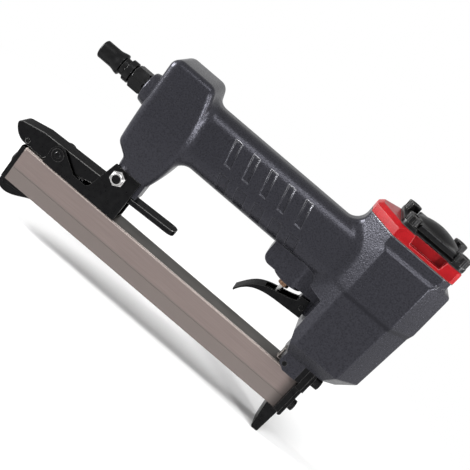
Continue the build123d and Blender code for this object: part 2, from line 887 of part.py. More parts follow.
with BuildPart() as piston_ring:
    add(
        seal_ring(
            ring_bottom + seat, piston_radius - ring_depth + seat, sleeve_bore - slip, ring_height - 2 * seat
        )
    )
piston_ring.part.label = "piston_ring"
export_step(piston_ring.part, "parts/piston_ring.step")

blade_bottom = stroke + seat
with BuildPart() as driver_blade:
    with BuildSketch(Plane.XY.offset(blade_bottom)):
        Rectangle(blade_thickness, blade_width)
    extrude(amount=blade_seat - slip - blade_bottom)
    with BuildSketch(Plane.YZ):
        with Locations((0, driver_pin_z)):
            Circle(driver_pin_radius + slip)
    extrude(amount=channel_depth, both=True, mode=Mode.SUBTRACT)
driver_blade.part.label = "driver_blade"
export_step(driver_blade.part, "parts/driver_blade.step")

with BuildPart() as driver_pin:
    with BuildSketch(Plane.YZ):
        with Locations((0, driver_pin_z)):
            Circle(driver_pin_radius)
    extrude(amount=piston_radius - 2 * room, both=True)
driver_pin.part.label = "driver_pin"
export_step(driver_pin.part, "parts/driver_pin.step")

# Head valve: a plate on the sleeve's rim, guided in the cap
valve_pocket_floor = valve_shoulder + valve_plate / 2
valve_ring_bottom = valve_shoulder + valve_plate
with BuildPart() as head_valve:
    with BuildSketch(Plane.XY.offset(valve_bottom)):
        Circle(head_bore - 2 * room)
    extrude(amount=valve_plate)
    with BuildSketch(Plane.XY.offset(valve_shoulder)):
        Circle(valve_radius)
    extrude(amount=valve_top - valve_shoulder)
    with BuildSketch(Plane.XY.offset(valve_pocket_floor)):
        Circle(valve_spring_radius + room)
    extrude(amount=valve_top - valve_pocket_floor, mode=Mode.SUBTRACT)
    add(
        seal_ring(valve_ring_bottom, valve_radius - ring_depth, cap_bore + room, ring_height),
        mode=Mode.SUBTRACT,
    )
head_valve.part.label = "head_valve"
export_step(head_valve.part, "parts/head_valve.step")

with BuildPart() as head_valve_seals:
    add(
        seal_ring(
            valve_ring_bottom + seat, valve_radius - ring_depth + seat, cap_bore - slip / 2, ring_height - 2 * seat
        )
    )
head_valve_seals.part.label = "head_valve_seals"
export_step(head_valve_seals.part, "parts/head_valve_seals.step")

with BuildPart() as head_valve_spring:
    add(
        seal_ring(
            valve_pocket_floor + slip,
            valve_spring_radius - spring_wire,
            valve_spring_radius,
            cap_ceiling - valve_pocket_floor - 2 * slip,
        )
    )
head_valve_spring.part.label = "head_valve_spring"
export_step(head_valve_spring.part, "parts/head_valve_spring.step")

# Trigger: a pressed channel on its pin, with a curled tail
trigger_plane = Plane(origin=(trigger_x, 0, trigger_z), x_dir=(1, 0, 0), z_dir=(0, -1, 0))
web_line = [(along, up + trigger_sheet) for along, up in trigger_belly[trigger_web:]]
with BuildPart() as trigger:
    with BuildSketch(trigger_plane):
        with BuildLine():
            Polyline(trigger_heel, trigger_top[0], trigger_top[1], trigger_back[0])
            Spline(*trigger_back)
            Line(trigger_back[-1], trigger_belly[0])
            Spline(*trigger_belly)
            Line(trigger_belly[-1], trigger_heel)
        make_face()
    extrude(amount=trigger_half, both=True)
    with BuildSketch(trigger_plane):
        with BuildLine():
            Spline(*web_line)
            Polyline(
                web_line[-1],
                (trigger_heel[0] + room, trigger_heel[1] + trigger_sheet),
                (trigger_heel[0] + room, trigger_top[0][1] + room),
                (web_line[0][0], trigger_top[0][1] + room),
                web_line[0],
            )
        make_face()
    extrude(amount=trigger_inner, both=True, mode=Mode.SUBTRACT)
    with BuildSketch(trigger_plane):
        Circle(trigger_pin_radius + slip)
    extrude(amount=trigger_half, both=True, mode=Mode.SUBTRACT)
trigger.part.label = "trigger"
export_step(trigger.part, "parts/trigger.step")

with BuildPart() as trigger_pin:
    with BuildSketch(trigger_plane):
        Circle(trigger_pin_radius)
    extrude(amount=trigger_half + room, both=True)
trigger_pin.part.label = "trigger_pin"
export_step(trigger_pin.part, "parts/trigger_pin.step")

# Trigger valve: bushing in the boss, stem, spring and closing cap
chamber_floor = valve_boss_bottom + bushing_floor
valve_seal_bottom = chamber_floor + spool_height
bushing_radius = valve_bore - slip
with BuildPart() as valve_bushing:
    with BuildSketch(Plane.XY.offset(bushing_tip)):
        with Locations((stem_x, 0)):
            Circle(bushing_collar)
    extrude(amount=bushing_reach)
    with BuildSketch(Plane.XY.offset(valve_boss_bottom)):
        with Locations((stem_x, 0)):
            Circle(bushing_radius)
    extrude(amount=bushing_top - valve_boss_bottom)
    with Locations((stem_x, 0, 0)):
        add(
            seal_ring(
                valve_seal_bottom, bushing_radius - valve_seal_depth, valve_bore + room, valve_seal_height
            ),
            mode=Mode.SUBTRACT,
        )
    with BuildSketch(Plane.XY.offset(bushing_tip)):
        with Locations((stem_x, 0)):
            Circle(stem_radius + slip)
    extrude(amount=chamber_floor - bushing_tip, mode=Mode.SUBTRACT)
    with BuildSketch(Plane.XY.offset(chamber_floor)):
        with Locations((stem_x, 0)):
            Circle(chamber_radius)
    extrude(amount=bushing_top - chamber_floor, mode=Mode.SUBTRACT)
valve_bushing.part.label = "valve_bushing"
export_step(valve_bushing.part, "parts/valve_bushing.step")

with BuildPart() as valve_seals:
    with Locations((stem_x, 0, 0)):
        add(
            seal_ring(
                valve_seal_bottom + seat,
                bushing_radius - valve_seal_depth + slip,
                valve_bore - slip / 2,
                valve_seal_height - 2 * seat,
            )
        )
valve_seals.part.label = "valve_seals"
export_step(valve_seals.part, "parts/valve_seals.step")

with BuildPart() as valve_cap:
    with BuildSketch(Plane.XY.offset(bushing_top)):
        with Locations((stem_x, 0)):
            Circle(bushing_radius)
    extrude(amount=valve_cap_height)
    with BuildSketch(Plane.XY.offset(bushing_top)):
        with Locations((stem_x, 0)):
            Circle(chamber_radius - slip)
    extrude(amount=-valve_cap_height)
    with BuildSketch(Plane.XY.offset(bushing_top + valve_cap_height)):
        with Locations((stem_x, 0)):
            Circle(stem_radius)
    extrude(amount=-2 * valve_cap_height, mode=Mode.SUBTRACT)
valve_cap.part.label = "valve_cap"
export_step(valve_cap.part, "parts/valve_cap.step")

spool_bottom = chamber_floor + seat
spool_top = spool_bottom + spool_height
stem_tip = trigger_z + trigger_belly[-1][1] + trigger_sheet + room
with BuildPart() as valve_stem:
    with BuildSketch(Plane.XY.offset(stem_tip)):
        with Locations((stem_x, 0)):
            Circle(stem_radius)
    extrude(amount=spool_bottom - stem_tip)
    chamfer(valve_stem.faces().sort_by(Axis.Z)[0].edges(), length=stem_radius / 3)
    with BuildSketch(Plane.XY.offset(spool_bottom)):
        with Locations((stem_x, 0)):
            Circle(chamber_radius - room)
    extrude(amount=spool_height)
valve_stem.part.label = "valve_stem"
export_step(valve_stem.part, "parts/valve_stem.step")

with BuildPart() as valve_spring:
    with Locations((stem_x, 0, 0)):
        add(
            seal_ring(
                spool_top + slip,
                stem_radius + room,
                chamber_radius - room,
                bushing_top - valve_cap_height - spool_top - 2 * slip,
            )
        )
valve_spring.part.label = "valve_spring"
export_step(valve_spring.part, "parts/valve_spring.step")

# Air plug: thread in the boss, hexagon, collar, groove and rounded nipple
boss_end = block_rear - inlet_boss_length
hex_front = boss_end - plug_seal_height
hex_rear = hex_front - plug_hex_length
plug_rear = boss_end - plug_length
plug_plane = Plane(origin=(0, 0, inlet_axis), x_dir=(1, 0, 0), z_dir=(0, -1, 0))
collar_front = hex_rear - plug_seal_height
collar_rear = collar_front - plug_collar_length
groove_rear = collar_rear - plug_groove_length
bulge_length = plug_bulge / 2
plug_line = Axis((0, 0, inlet_axis), (1, 0, 0))
with BuildPart() as plug_nut:
    with BuildSketch(Plane.YZ.offset(hex_rear)):
        with Locations((0, inlet_axis)):
            RegularPolygon(radius=plug_hex, side_count=6)
    extrude(amount=plug_hex_length)
    with BuildSketch(plug_plane):
        with BuildLine():
            Polyline(
                (hex_rear, 0),
                (hex_rear, plug_bulge - slip),
                (hex_rear + plug_hex_bevel, plug_hex),
                (hex_front - plug_hex_bevel, plug_hex),
                (hex_front, plug_bulge - slip),
                (hex_front, 0),
                close=True,
            )
        make_face()
    revolve(axis=plug_line, mode=Mode.INTERSECT)

with BuildPart() as air_plug:
    with BuildSketch(plug_plane):
        with BuildLine():
            Polyline(
                (groove_rear - 2 * bulge_length, plug_tip),
                (plug_rear + plug_seal_height, plug_tip),
                (plug_rear, plug_tip - plug_seal_height),
                (plug_rear, 0),
                (boss_end + plug_thread_length, 0),
            )
            Spline(
                (groove_rear - 2 * bulge_length, plug_tip),
                (groove_rear - plug_seal_height, plug_bulge),
                tangents=((1, 0), (1, 0)),
            )
            Polyline(
                (groove_rear - plug_seal_height, plug_bulge),
                (groove_rear, plug_neck),
                (collar_rear, plug_neck),
                (collar_rear + plug_seal_height, plug_bulge),
                (collar_front - plug_seal_height, plug_bulge),
                (collar_front, plug_tip),
                (hex_rear, plug_tip),
                (hex_rear, inlet_thread),
                (boss_end + plug_thread_length, inlet_thread),
                (boss_end + plug_thread_length, 0),
            )
        make_face()
    revolve(axis=plug_line)
    add(plug_nut.part)
    with BuildSketch(Plane.YZ.offset(plug_rear)):
        with Locations((0, inlet_axis)):
            Circle(plug_bore)
    extrude(amount=plug_length + plug_thread_length, mode=Mode.SUBTRACT)
air_plug.part.label = "air_plug"
export_step(air_plug.part, "parts/air_plug.step")

with BuildPart() as plug_seal:
    with BuildSketch(Plane.YZ.offset(hex_front)):
        with Locations((0, inlet_axis)):
            Circle(plug_bulge)
            Circle(inlet_thread + slip, mode=Mode.SUBTRACT)
    extrude(amount=plug_seal_height)
plug_seal.part.label = "plug_seal"
export_step(plug_seal.part, "parts/plug_seal.step")

# Magazine: a channel with inner lips, hung from the skirt and screwed to the bracket
bracket_front = leg_front - bracket_setback
bracket_screw_front = bracket_front - bracket_screw_back
bracket_screw_rear = bracket_screw_front - bracket_screw_pitch
with BuildPart() as magazine_housing:
    with BuildSketch(Plane.YZ.offset(magazine_rear)) as channel:
        with Locations((0, magazine_bottom + magazine_height / 2)):
            Rectangle(2 * magazine_half, magazine_height)
        chamfer(channel.vertices().group_by(Axis.Y)[-1], length=magazine_edge)
        with Locations((0, (magazine_bottom + magazine_lip_height + magazine_ceiling) / 2)):
            Rectangle(
                2 * magazine_inner,
                magazine_ceiling - magazine_bottom - magazine_lip_height,
                mode=Mode.SUBTRACT,
            )
        with Locations((0, magazine_bottom)):
            Rectangle(2 * (magazine_inner - magazine_lip), 4 * magazine_lip_height, mode=Mode.SUBTRACT)
        with GridLocations(2 * magazine_half, 2 * (magazine_bottom + magazine_groove_rise), 2, 2):
            Rectangle(2 * magazine_groove, magazine_groove_width, mode=Mode.SUBTRACT)
    extrude(amount=magazine_length)
    with BuildSketch(Plane.XZ):
        with BuildLine():
            FilletPolyline(
                (hanger_rear, magazine_ceiling),
                (hanger_rear, magazine_top + hanger_rise),
                (hanger_front, magazine_top + hanger_rise),
                (hanger_front, magazine_ceiling),
                radius=hanger_pin_radius,
            )
            Line((hanger_front, magazine_ceiling), (hanger_rear, magazine_ceiling))
        make_face()
    extrude(amount=hanger_half, both=True)
    with BuildSketch(Plane.XZ):
        with Locations((hanger_pin_x, hanger_pin_z)):
            Circle(hanger_pin_radius + slip)
    extrude(amount=hanger_half, both=True, mode=Mode.SUBTRACT)
    with BuildSketch(Plane.XY.offset(magazine_top)):
        with Locations((bracket_screw_front, 0), (bracket_screw_rear, 0)):
            Circle(bracket_screw_radius + slip)
    extrude(amount=-magazine_roof, mode=Mode.SUBTRACT)
magazine_housing.part.label = "magazine_housing"
export_step(magazine_housing.part, "parts/magazine_housing.step")

with BuildPart() as magazine_pin:
    with BuildSketch(Plane.XZ):
        with Locations((hanger_pin_x, hanger_pin_z)):
            Circle(hanger_pin_radius)
    extrude(amount=skirt_half, both=True)
magazine_pin.part.label = "magazine_pin"
export_step(magazine_pin.part, "parts/magazine_pin.step")

# Nose: guide plate, channelled block with the tapered tip, front plate and screws
with BuildPart() as driver_guide:
    with BuildSketch(Plane.YZ.offset(skirt_front)):
        with Locations((0, (magazine_top + nose_top) / 2)):
            Rectangle(2 * nose_half, nose_top - magazine_top)
        with Locations((nose_screw_y, nose_screw_z), (-nose_screw_y, nose_screw_z)):
            Circle(nose_screw_radius + slip, mode=Mode.SUBTRACT)
    extrude(amount=-channel_half - skirt_front)
driver_guide.part.label = "driver_guide"
export_step(driver_guide.part, "parts/driver_guide.step")

with BuildPart() as nose_block:
    with BuildSketch(Plane.XZ):
        with BuildLine():
            FilletPolyline(
                (-tip_rear, tip_height),
                (-tip_end_rear, 0),
                (tip_end_front, 0),
                (tip_front, tip_height),
                radius=tip_rounding,
            )
            Line((tip_front, tip_height), (-tip_rear, tip_height))
        make_face()
    extrude(amount=tip_half, both=True)
    with BuildSketch(Plane.YZ.offset(-channel_half)):
        with Locations((0, (nose_shoulder + nose_top) / 2)):
            Rectangle(2 * nose_half, nose_top - nose_shoulder)
        with Locations((0, (tip_height + nose_shoulder) / 2)):
            Rectangle(2 * nose_lower_half, nose_shoulder - tip_height)
        with Locations((nose_screw_y, nose_screw_z), (-nose_screw_y, nose_screw_z)):
            Circle(nose_screw_radius + slip, mode=Mode.SUBTRACT)
    extrude(amount=channel_half + nose_thickness)
    with BuildSketch(Plane.XY):
        Rectangle(channel_depth, channel_width)
    extrude(amount=nose_top, mode=Mode.SUBTRACT)
    with BuildSketch(Plane.YZ.offset(nose_thickness)):
        with Locations((0, tip_screw_z)):
            Circle(tip_screw_radius + slip)
    extrude(amount=-tip_screw_depth - seat, mode=Mode.SUBTRACT)
nose_block.part.label = "nose_block"
export_step(nose_block.part, "parts/nose_block.step")

with BuildPart() as nose_plate:
    with BuildSketch(Plane.YZ.offset(nose_thickness)):
        with Locations((0, (nose_shoulder + nose_top) / 2)):
            Rectangle(2 * nose_half, nose_top - nose_shoulder)
        with Locations((0, (tip_height - nose_plate_drop + nose_shoulder) / 2)):
            Rectangle(2 * nose_lower_half, nose_shoulder - tip_height + nose_plate_drop)
        with Locations((nose_screw_y, nose_screw_z), (-nose_screw_y, nose_screw_z)):
            Circle(nose_screw_radius + slip, mode=Mode.SUBTRACT)
        with Locations((0, tip_screw_z)):
            Circle(tip_screw_radius + slip, mode=Mode.SUBTRACT)
    extrude(amount=nose_front - nose_thickness)
    fillet(
        nose_plate.faces().sort_by(Axis.Z)[0].edges().sort_by(Axis.X)[-1],
        radius=nose_rounding,
    )
nose_plate.part.label = "nose_plate"
export_step(nose_plate.part, "parts/nose_plate.step")

nose_screw_length = nose_front - skirt_front + nose_screw_depth
nose_screw = socket_screw(nose_screw_radius, nose_screw_length, nose_screw_head, nose_screw_head_height)
with BuildPart() as nose_screws:
    for side in (1, -1):
        with Locations(Location((nose_front, side * nose_screw_y, nose_screw_z), (0, 90, 0))):
            add(nose_screw)
nose_screws.part.label = "nose_screws"
export_step(nose_screws.part, "parts/nose_screws.step")

tip_screw_length = nose_front - nose_thickness + tip_screw_depth
with BuildPart() as tip_screw:
    with Locations(Location((nose_front, 0, tip_screw_z), (0, 90, 0))):
        add(socket_screw(tip_screw_radius, tip_screw_length, tip_screw_head, tip_screw_head_height))
tip_screw.part.label = "tip_screw"
export_step(tip_screw.part, "parts/tip_screw.step")

# Sliding rail that carries the staples, with its rod, pusher and spring
rail_inner = rail_half - rail_wall
rail_ceiling = rail_top - rail_wall
plug_front = end_cap_front + end_cap_plug
with BuildPart() as magazine_rail:
    with BuildSketch(Plane.YZ.offset(end_cap_front)):
        with Locations((0, (rail_bottom + rail_top) / 2)):
            Rectangle(2 * rail_half, rail_top - rail_bottom)
        with Locations((0, rail_bottom + rail_wall / 2)):
            Rectangle(2 * rail_flange, rail_wall)
        with Locations((0, (rail_bottom + rail_ceiling) / 2)):
            Rectangle(2 * rail_inner, rail_ceiling - rail_bottom, mode=Mode.SUBTRACT)
    extrude(amount=rail_front - end_cap_front)
    with BuildSketch(Plane.YZ.offset(rail_front)):
        with Locations((0, (rail_bottom + rail_top) / 2)):
            Rectangle(2 * rail_half, rail_top - rail_bottom)
        with Locations((0, rod_z)):
            Circle(rod_radius + slip, mode=Mode.SUBTRACT)
    extrude(amount=-rail_web)
    with BuildSketch(Plane.XY.offset(rail_top)):
        with Locations(((rail_front - rail_web + plug_front) / 2, 0)):
            Rectangle(rail_front - rail_web - plug_front, 2 * rail_slot)
    extrude(amount=-rail_wall, mode=Mode.SUBTRACT)
magazine_rail.part.label = "magazine_rail"
export_step(magazine_rail.part, "parts/magazine_rail.step")

rod_rear = plug_front - rod_seat
with BuildPart() as pusher_rod:
    with BuildSketch(Plane.YZ.offset(rod_rear)):
        with Locations((0, rod_z)):
            Circle(rod_radius)
    extrude(amount=rail_front - rod_rear)
pusher_rod.part.label = "pusher_rod"
export_step(pusher_rod.part, "parts/pusher_rod.step")

pusher_inner_front = rail_front - rail_web - room
pusher_top = magazine_ceiling - room
pusher_bottom = rail_bottom + rail_wall + room
with BuildPart() as pusher:
    with BuildSketch(Plane.YZ.offset(pusher_rear)):
        with Locations((0, (pusher_bottom + pusher_top) / 2)):
            Rectangle(staple_crown, pusher_top - pusher_bottom)
        with Locations((0, (pusher_bottom + rail_top + seat) / 2)):
            Rectangle(2 * (rail_half + seat), rail_top + seat - pusher_bottom, mode=Mode.SUBTRACT)
    extrude(amount=pusher_length)
    with BuildSketch(Plane.YZ.offset(pusher_rear)):
        with Locations((0, (rod_z - pusher_drop + rail_ceiling - room) / 2)):
            Rectangle(2 * (rail_inner - room), rail_ceiling - room - rod_z + pusher_drop)
        with Locations((0, (rod_z + pusher_top) / 2)):
            Rectangle(2 * (rail_slot - room), pusher_top - rod_z)
        with Locations((0, rod_z)):
            Circle(rod_radius + slip, mode=Mode.SUBTRACT)
    extrude(amount=pusher_inner_front - pusher_rear)
pusher.part.label = "pusher"
export_step(pusher.part, "parts/pusher.step")

with BuildPart() as pusher_spring:
    with BuildSketch(Plane.YZ.offset(plug_front + slip)):
        with Locations((0, rod_z)):
            Circle(pusher_spring_radius)
            Circle(pusher_spring_radius - pusher_spring_wire, mode=Mode.SUBTRACT)
    extrude(amount=pusher_rear - plug_front - 2 * slip)
pusher_spring.part.label = "pusher_spring"
export_step(pusher_spring.part, "parts/pusher_spring.step")

# End cap of the rail, with a plug in the rail, a catch tab and a finger lip
tab_top = catch_z - catch_pin_radius - room
lip_level = magazine_bottom - room
with BuildPart() as rail_end_cap:
    with BuildSketch(Plane.YZ.offset(end_cap_rear)):
        with Locations((0, (lip_level + end_cap_top) / 2)):
            Rectangle(2 * end_cap_half, end_cap_top - lip_level)
        with Locations((0, (magazine_ceiling + tab_top) / 2)):
            Rectangle(2 * end_cap_tab, tab_top - magazine_ceiling)
    extrude(amount=end_cap_thickness)
    with BuildSketch(Plane.YZ.offset(end_cap_front)):
        with Locations((0, (rail_bottom + rail_ceiling) / 2)):
            Rectangle(2 * (rail_inner - slip), rail_ceiling - rail_bottom - 2 * slip)
    extrude(amount=end_cap_plug)
    with BuildSketch(Plane.XZ):
        with BuildLine():
            curl = Spline(*[(end_cap_rear + along, magazine_bottom + down) for along, down in lip_points])
            Polyline(curl @ 1, (end_cap_rear + lip_points[-1][0], lip_level), (end_cap_rear, lip_level), curl @ 0)
        make_face()
    extrude(amount=lip_half, both=True)
    with BuildSketch(Plane.YZ.offset(plug_front)):
        with Locations((0, rod_z)):
            Circle(rod_radius + slip)
    extrude(amount=-rod_seat, mode=Mode.SUBTRACT)
    with BuildSketch(Plane.YZ.offset(end_cap_rear)):
        with Locations((0, rod_z)):
            Circle(end_screw_radius + slip)
    extrude(amount=end_screw_length, mode=Mode.SUBTRACT)
rail_end_cap.part.label = "rail_end_cap"
export_step(rail_end_cap.part, "parts/rail_end_cap.step")

with BuildPart() as end_cap_screw:
    with BuildSketch(Plane.YZ.offset(end_cap_rear)):
        with Locations((0, rod_z)):
            Circle(end_screw_head)
    extrude(amount=-end_screw_head_height)
    fillet(end_cap_screw.edges().sort_by(Axis.X)[0], radius=end_screw_rounding)
    with BuildSketch(Plane.YZ.offset(end_cap_rear)):
        with Locations((0, rod_z)):
            Circle(end_screw_radius)
    extrude(amount=end_screw_length - seat)
end_cap_screw.part.label = "end_cap_screw"
export_step(end_cap_screw.part, "parts/end_cap_screw.step")

# Bracket: a pressed channel that clasps the leg and carries the latch
waist = magazine_top + bracket_waist
with BuildPart() as magazine_bracket:
    with BuildSketch(Plane.XZ):
        with BuildLine():
            ear = CenterArc((latch_x, latch_z), bracket_ear, bracket_ear_angle, 180 - bracket_ear_angle)
            Polyline(
                ear @ 0,
                (latch_x + bracket_throat, waist),
                (leg_rear - bracket_step - sheet, waist),
                (leg_rear - bracket_step, waist + sheet),
                (leg_rear - room, bracket_top),
                (bracket_front, bracket_top),
                (bracket_front, magazine_top),
                (latch_x - bracket_foot, magazine_top),
                ear @ 1,
            )
        make_face()
    extrude(amount=magazine_half, both=True)
    with BuildSketch(Plane.YZ.offset(bracket_front)):
        with Locations((0, bracket_floor + bracket_height)):
            Rectangle(2 * bracket_inner, 2 * bracket_height)
    extrude(amount=-2 * bracket_height * bracket_ear, mode=Mode.SUBTRACT)
    with BuildSketch(Plane.XZ):
        with Locations((latch_x, latch_z)):
            Circle(latch_pin_radius + slip)
        with Locations((bracket_bolt_x, bracket_bolt_z)):
            Circle(bracket_bolt_radius + slip)
    extrude(amount=magazine_half, both=True, mode=Mode.SUBTRACT)
    with BuildSketch(Plane.XY.offset(magazine_top)):
        with Locations((bracket_screw_front, 0), (bracket_screw_rear, 0)):
            Circle(bracket_screw_radius + slip)
    extrude(amount=sheet, mode=Mode.SUBTRACT)
    with BuildSketch(Plane.XY.offset(bracket_floor)):
        with Locations((latch_spring_x, 0)):
            Circle(latch_spring_radius - spring_wire - seat)
    extrude(amount=latch_peg_height)
magazine_bracket.part.label = "magazine_bracket"
export_step(magazine_bracket.part, "parts/magazine_bracket.step")

bracket_screw = socket_screw(
    bracket_screw_radius, sheet + magazine_roof - seat, bracket_screw_head, bracket_screw_head_height
)
with BuildPart() as bracket_screws:
    with Locations((bracket_screw_front, 0, bracket_floor), (bracket_screw_rear, 0, bracket_floor)):
        add(bracket_screw)
bracket_screws.part.label = "bracket_screws"
export_step(bracket_screws.part, "parts/bracket_screws.step")

bracket_bolt_length = 2 * magazine_half + bracket_nut_height - bracket_bolt_short
with BuildPart() as bracket_bolt:
    with Locations(Location((bracket_bolt_x, magazine_half, bracket_bolt_z), (-90, 0, 0))):
        add(socket_screw(bracket_bolt_radius, bracket_bolt_length, bracket_bolt_head, bracket_bolt_head_height))
bracket_bolt.part.label = "bracket_bolt"
export_step(bracket_bolt.part, "parts/bracket_bolt.step")

with BuildPart() as bracket_nut:
    with BuildSketch(Plane.XZ.offset(magazine_half)):
        with Locations((bracket_bolt_x, bracket_bolt_z)):
            RegularPolygon(radius=bracket_nut_corner, side_count=6)
            Circle(bracket_bolt_radius + slip, mode=Mode.SUBTRACT)
    extrude(amount=bracket_nut_height)
bracket_nut.part.label = "bracket_nut"
export_step(bracket_nut.part, "parts/bracket_nut.step")


# Height of the lever's top line above its pivot
def latch_line(along):
    return latch_top + latch_slope * (along - latch_bend)


# Latch lever: a pressed channel on a rivet, with a long tongue and a cross pin
latch_plane = Plane(origin=(latch_x, 0, latch_z), x_dir=(1, 0, 0), z_dir=(0, -1, 0))
tongue_root = latch_belly[-1][0]
with BuildPart() as latch_lever:
    with BuildSketch(latch_plane):
        with BuildLine():
            Spline(*latch_tail)
            Polyline(latch_tail[-1], *latch_belly)
            Polyline(
                latch_belly[-1],
                (tongue_root, latch_line(tongue_root)),
                (latch_bend, latch_top),
                latch_tail[0],
            )
        make_face()
    extrude(amount=latch_half, both=True)
    with BuildSketch(latch_plane):
        with BuildLine():
            Polyline(
                (latch_bend, latch_top),
                (latch_reach, latch_line(latch_reach)),
                (latch_reach, latch_line(latch_reach) - tongue_depth),
                (latch_belly[2][0], latch_line(latch_belly[2][0]) - tongue_depth),
                (latch_bend, latch_top - tongue_depth),
                close=True,
            )
        make_face()
    extrude(amount=tongue_half, both=True)
    fillet(
        latch_lever.edges().filter_by(Axis.Z).filter_by(lambda e: e.center().X > latch_x + latch_reach - slip),
        radius=tongue_tip,
    )
    for half, reach in ((latch_half, tongue_root), (tongue_half, latch_reach)):
        with BuildSketch(latch_plane):
            with BuildLine():
                Polyline(
                    (latch_tail[0][0], latch_tail[0][1] - latch_sheet),
                    (latch_bend, latch_top - latch_sheet),
                    (reach - latch_sheet, latch_line(reach - latch_sheet) - latch_sheet),
                    (reach - latch_sheet, 2 * latch_tail[-1][1]),
                    (latch_tail[0][0], 2 * latch_tail[-1][1]),
                    close=True,
                )
            make_face()
        extrude(amount=half - latch_sheet, both=True, mode=Mode.SUBTRACT)
    with BuildSketch(latch_plane):
        Circle(latch_pin_radius + slip)
        with Locations((catch_x - latch_x, catch_z - latch_z)):
            Circle(catch_pin_radius + slip)
    extrude(amount=latch_half, both=True, mode=Mode.SUBTRACT)
latch_lever.part.label = "latch_lever"
export_step(latch_lever.part, "parts/latch_lever.step")

with BuildPart() as latch_pivot_pin:
    with BuildSketch(latch_plane):
        Circle(latch_pin_radius)
    extrude(amount=magazine_half + latch_pin_head_height, both=True)
    for side in (1, -1):
        with BuildSketch(latch_plane.offset(side * magazine_half)):
            Circle(latch_pin_head)
        extrude(amount=side * latch_pin_head_height)
    chamfer(
        latch_pivot_pin.edges().group_by(Axis.Y)[0] + latch_pivot_pin.edges().group_by(Axis.Y)[-1],
        length=latch_pin_head_height / 2,
    )
latch_pivot_pin.part.label = "latch_pivot_pin"
export_step(latch_pivot_pin.part, "parts/latch_pivot_pin.step")

with BuildPart() as latch_catch_pin:
    with BuildSketch(latch_plane):
        with Locations((catch_x - latch_x, catch_z - latch_z)):
            Circle(catch_pin_radius)
    extrude(amount=latch_half + room, both=True)
latch_catch_pin.part.label = "latch_catch_pin"
export_step(latch_catch_pin.part, "parts/latch_catch_pin.step")

latch_spring_top = latch_z + latch_line(latch_spring_x - latch_x - latch_spring_radius) - latch_sheet
with BuildPart() as latch_spring:
    with Locations((latch_spring_x, 0, 0)):
        add(
            seal_ring(
                bracket_floor + slip,
                latch_spring_radius - spring_wire,
                latch_spring_radius,
                latch_spring_top - bracket_floor - 2 * slip,
            )
        )
latch_spring.part.label = "latch_spring"
export_step(latch_spring.part, "parts/latch_spring.step")
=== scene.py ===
import json
import math

import bmesh
import bpy
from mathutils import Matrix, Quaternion, Vector


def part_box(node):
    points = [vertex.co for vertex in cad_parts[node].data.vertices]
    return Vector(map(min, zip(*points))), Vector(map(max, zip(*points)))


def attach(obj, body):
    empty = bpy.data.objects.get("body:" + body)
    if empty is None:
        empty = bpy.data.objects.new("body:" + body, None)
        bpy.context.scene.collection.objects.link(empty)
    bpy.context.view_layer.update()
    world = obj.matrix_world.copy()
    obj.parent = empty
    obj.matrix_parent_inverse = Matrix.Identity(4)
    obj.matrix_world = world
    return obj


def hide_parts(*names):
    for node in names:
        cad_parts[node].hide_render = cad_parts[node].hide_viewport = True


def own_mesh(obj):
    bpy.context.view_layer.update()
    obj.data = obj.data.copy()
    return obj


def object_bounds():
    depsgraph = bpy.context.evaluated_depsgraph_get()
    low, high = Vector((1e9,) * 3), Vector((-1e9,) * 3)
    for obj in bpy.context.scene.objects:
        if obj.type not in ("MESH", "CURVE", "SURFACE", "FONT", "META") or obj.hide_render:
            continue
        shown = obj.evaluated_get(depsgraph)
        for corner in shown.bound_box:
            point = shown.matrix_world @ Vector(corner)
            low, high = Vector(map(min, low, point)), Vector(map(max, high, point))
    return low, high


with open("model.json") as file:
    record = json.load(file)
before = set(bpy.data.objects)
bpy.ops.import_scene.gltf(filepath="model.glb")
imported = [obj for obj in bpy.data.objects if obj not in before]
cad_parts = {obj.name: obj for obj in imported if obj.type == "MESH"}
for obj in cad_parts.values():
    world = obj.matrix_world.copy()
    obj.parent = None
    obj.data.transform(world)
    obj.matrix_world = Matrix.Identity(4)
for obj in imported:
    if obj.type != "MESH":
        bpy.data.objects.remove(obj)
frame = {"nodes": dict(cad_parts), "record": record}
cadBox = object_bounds()  # the solids' own box, before anything is dressed
mm = 0.001
nodes = frame["nodes"]


# camera, rolled so that the magazine runs down to the right
cameraSpec = {
    "place": (-0.07908, -0.4387, 0.2157),
    "target": (-0.07908, 0.0, 0.07734),
    "rollDegrees": 40.47,
    "lens": 64.77,
    "sensor": 36.0,
}


def addCamera():
    bpy.ops.object.camera_add(location=cameraSpec["place"])
    camera = bpy.context.object
    camera.name = "photo_camera"
    aim = Vector(cameraSpec["target"]) - Vector(cameraSpec["place"])
    roll = Quaternion((0, 0, 1), math.radians(cameraSpec["rollDegrees"]))
    camera.rotation_mode = "QUATERNION"
    camera.rotation_quaternion = aim.to_track_quat("-Z", "Y") @ roll
    camera.data.sensor_fit = "HORIZONTAL"
    camera.data.sensor_width = cameraSpec["sensor"]
    camera.data.lens = cameraSpec["lens"]
    camera.data.dof.use_dof = False
    bpy.context.scene.camera = camera


# soft boxes round the tool: place and size in metres, power in watts
lampSpec = {
    "key_lamp": {"place": (0.02, -0.36, 0.95), "size": (0.6, 0.15), "power": 5.0},
    "left_lamp": {"place": (-0.95, -0.06, 0.22), "size": (0.25, 0.38), "power": 21.0},
    "right_lamp": {"place": (0.88, -0.06, 0.26), "size": (0.25, 0.35), "power": 7.0},
    "strip_lamp": {"place": (0.58, -0.47, 0.15), "size": (0.14, 0.26), "power": 6.0},
}


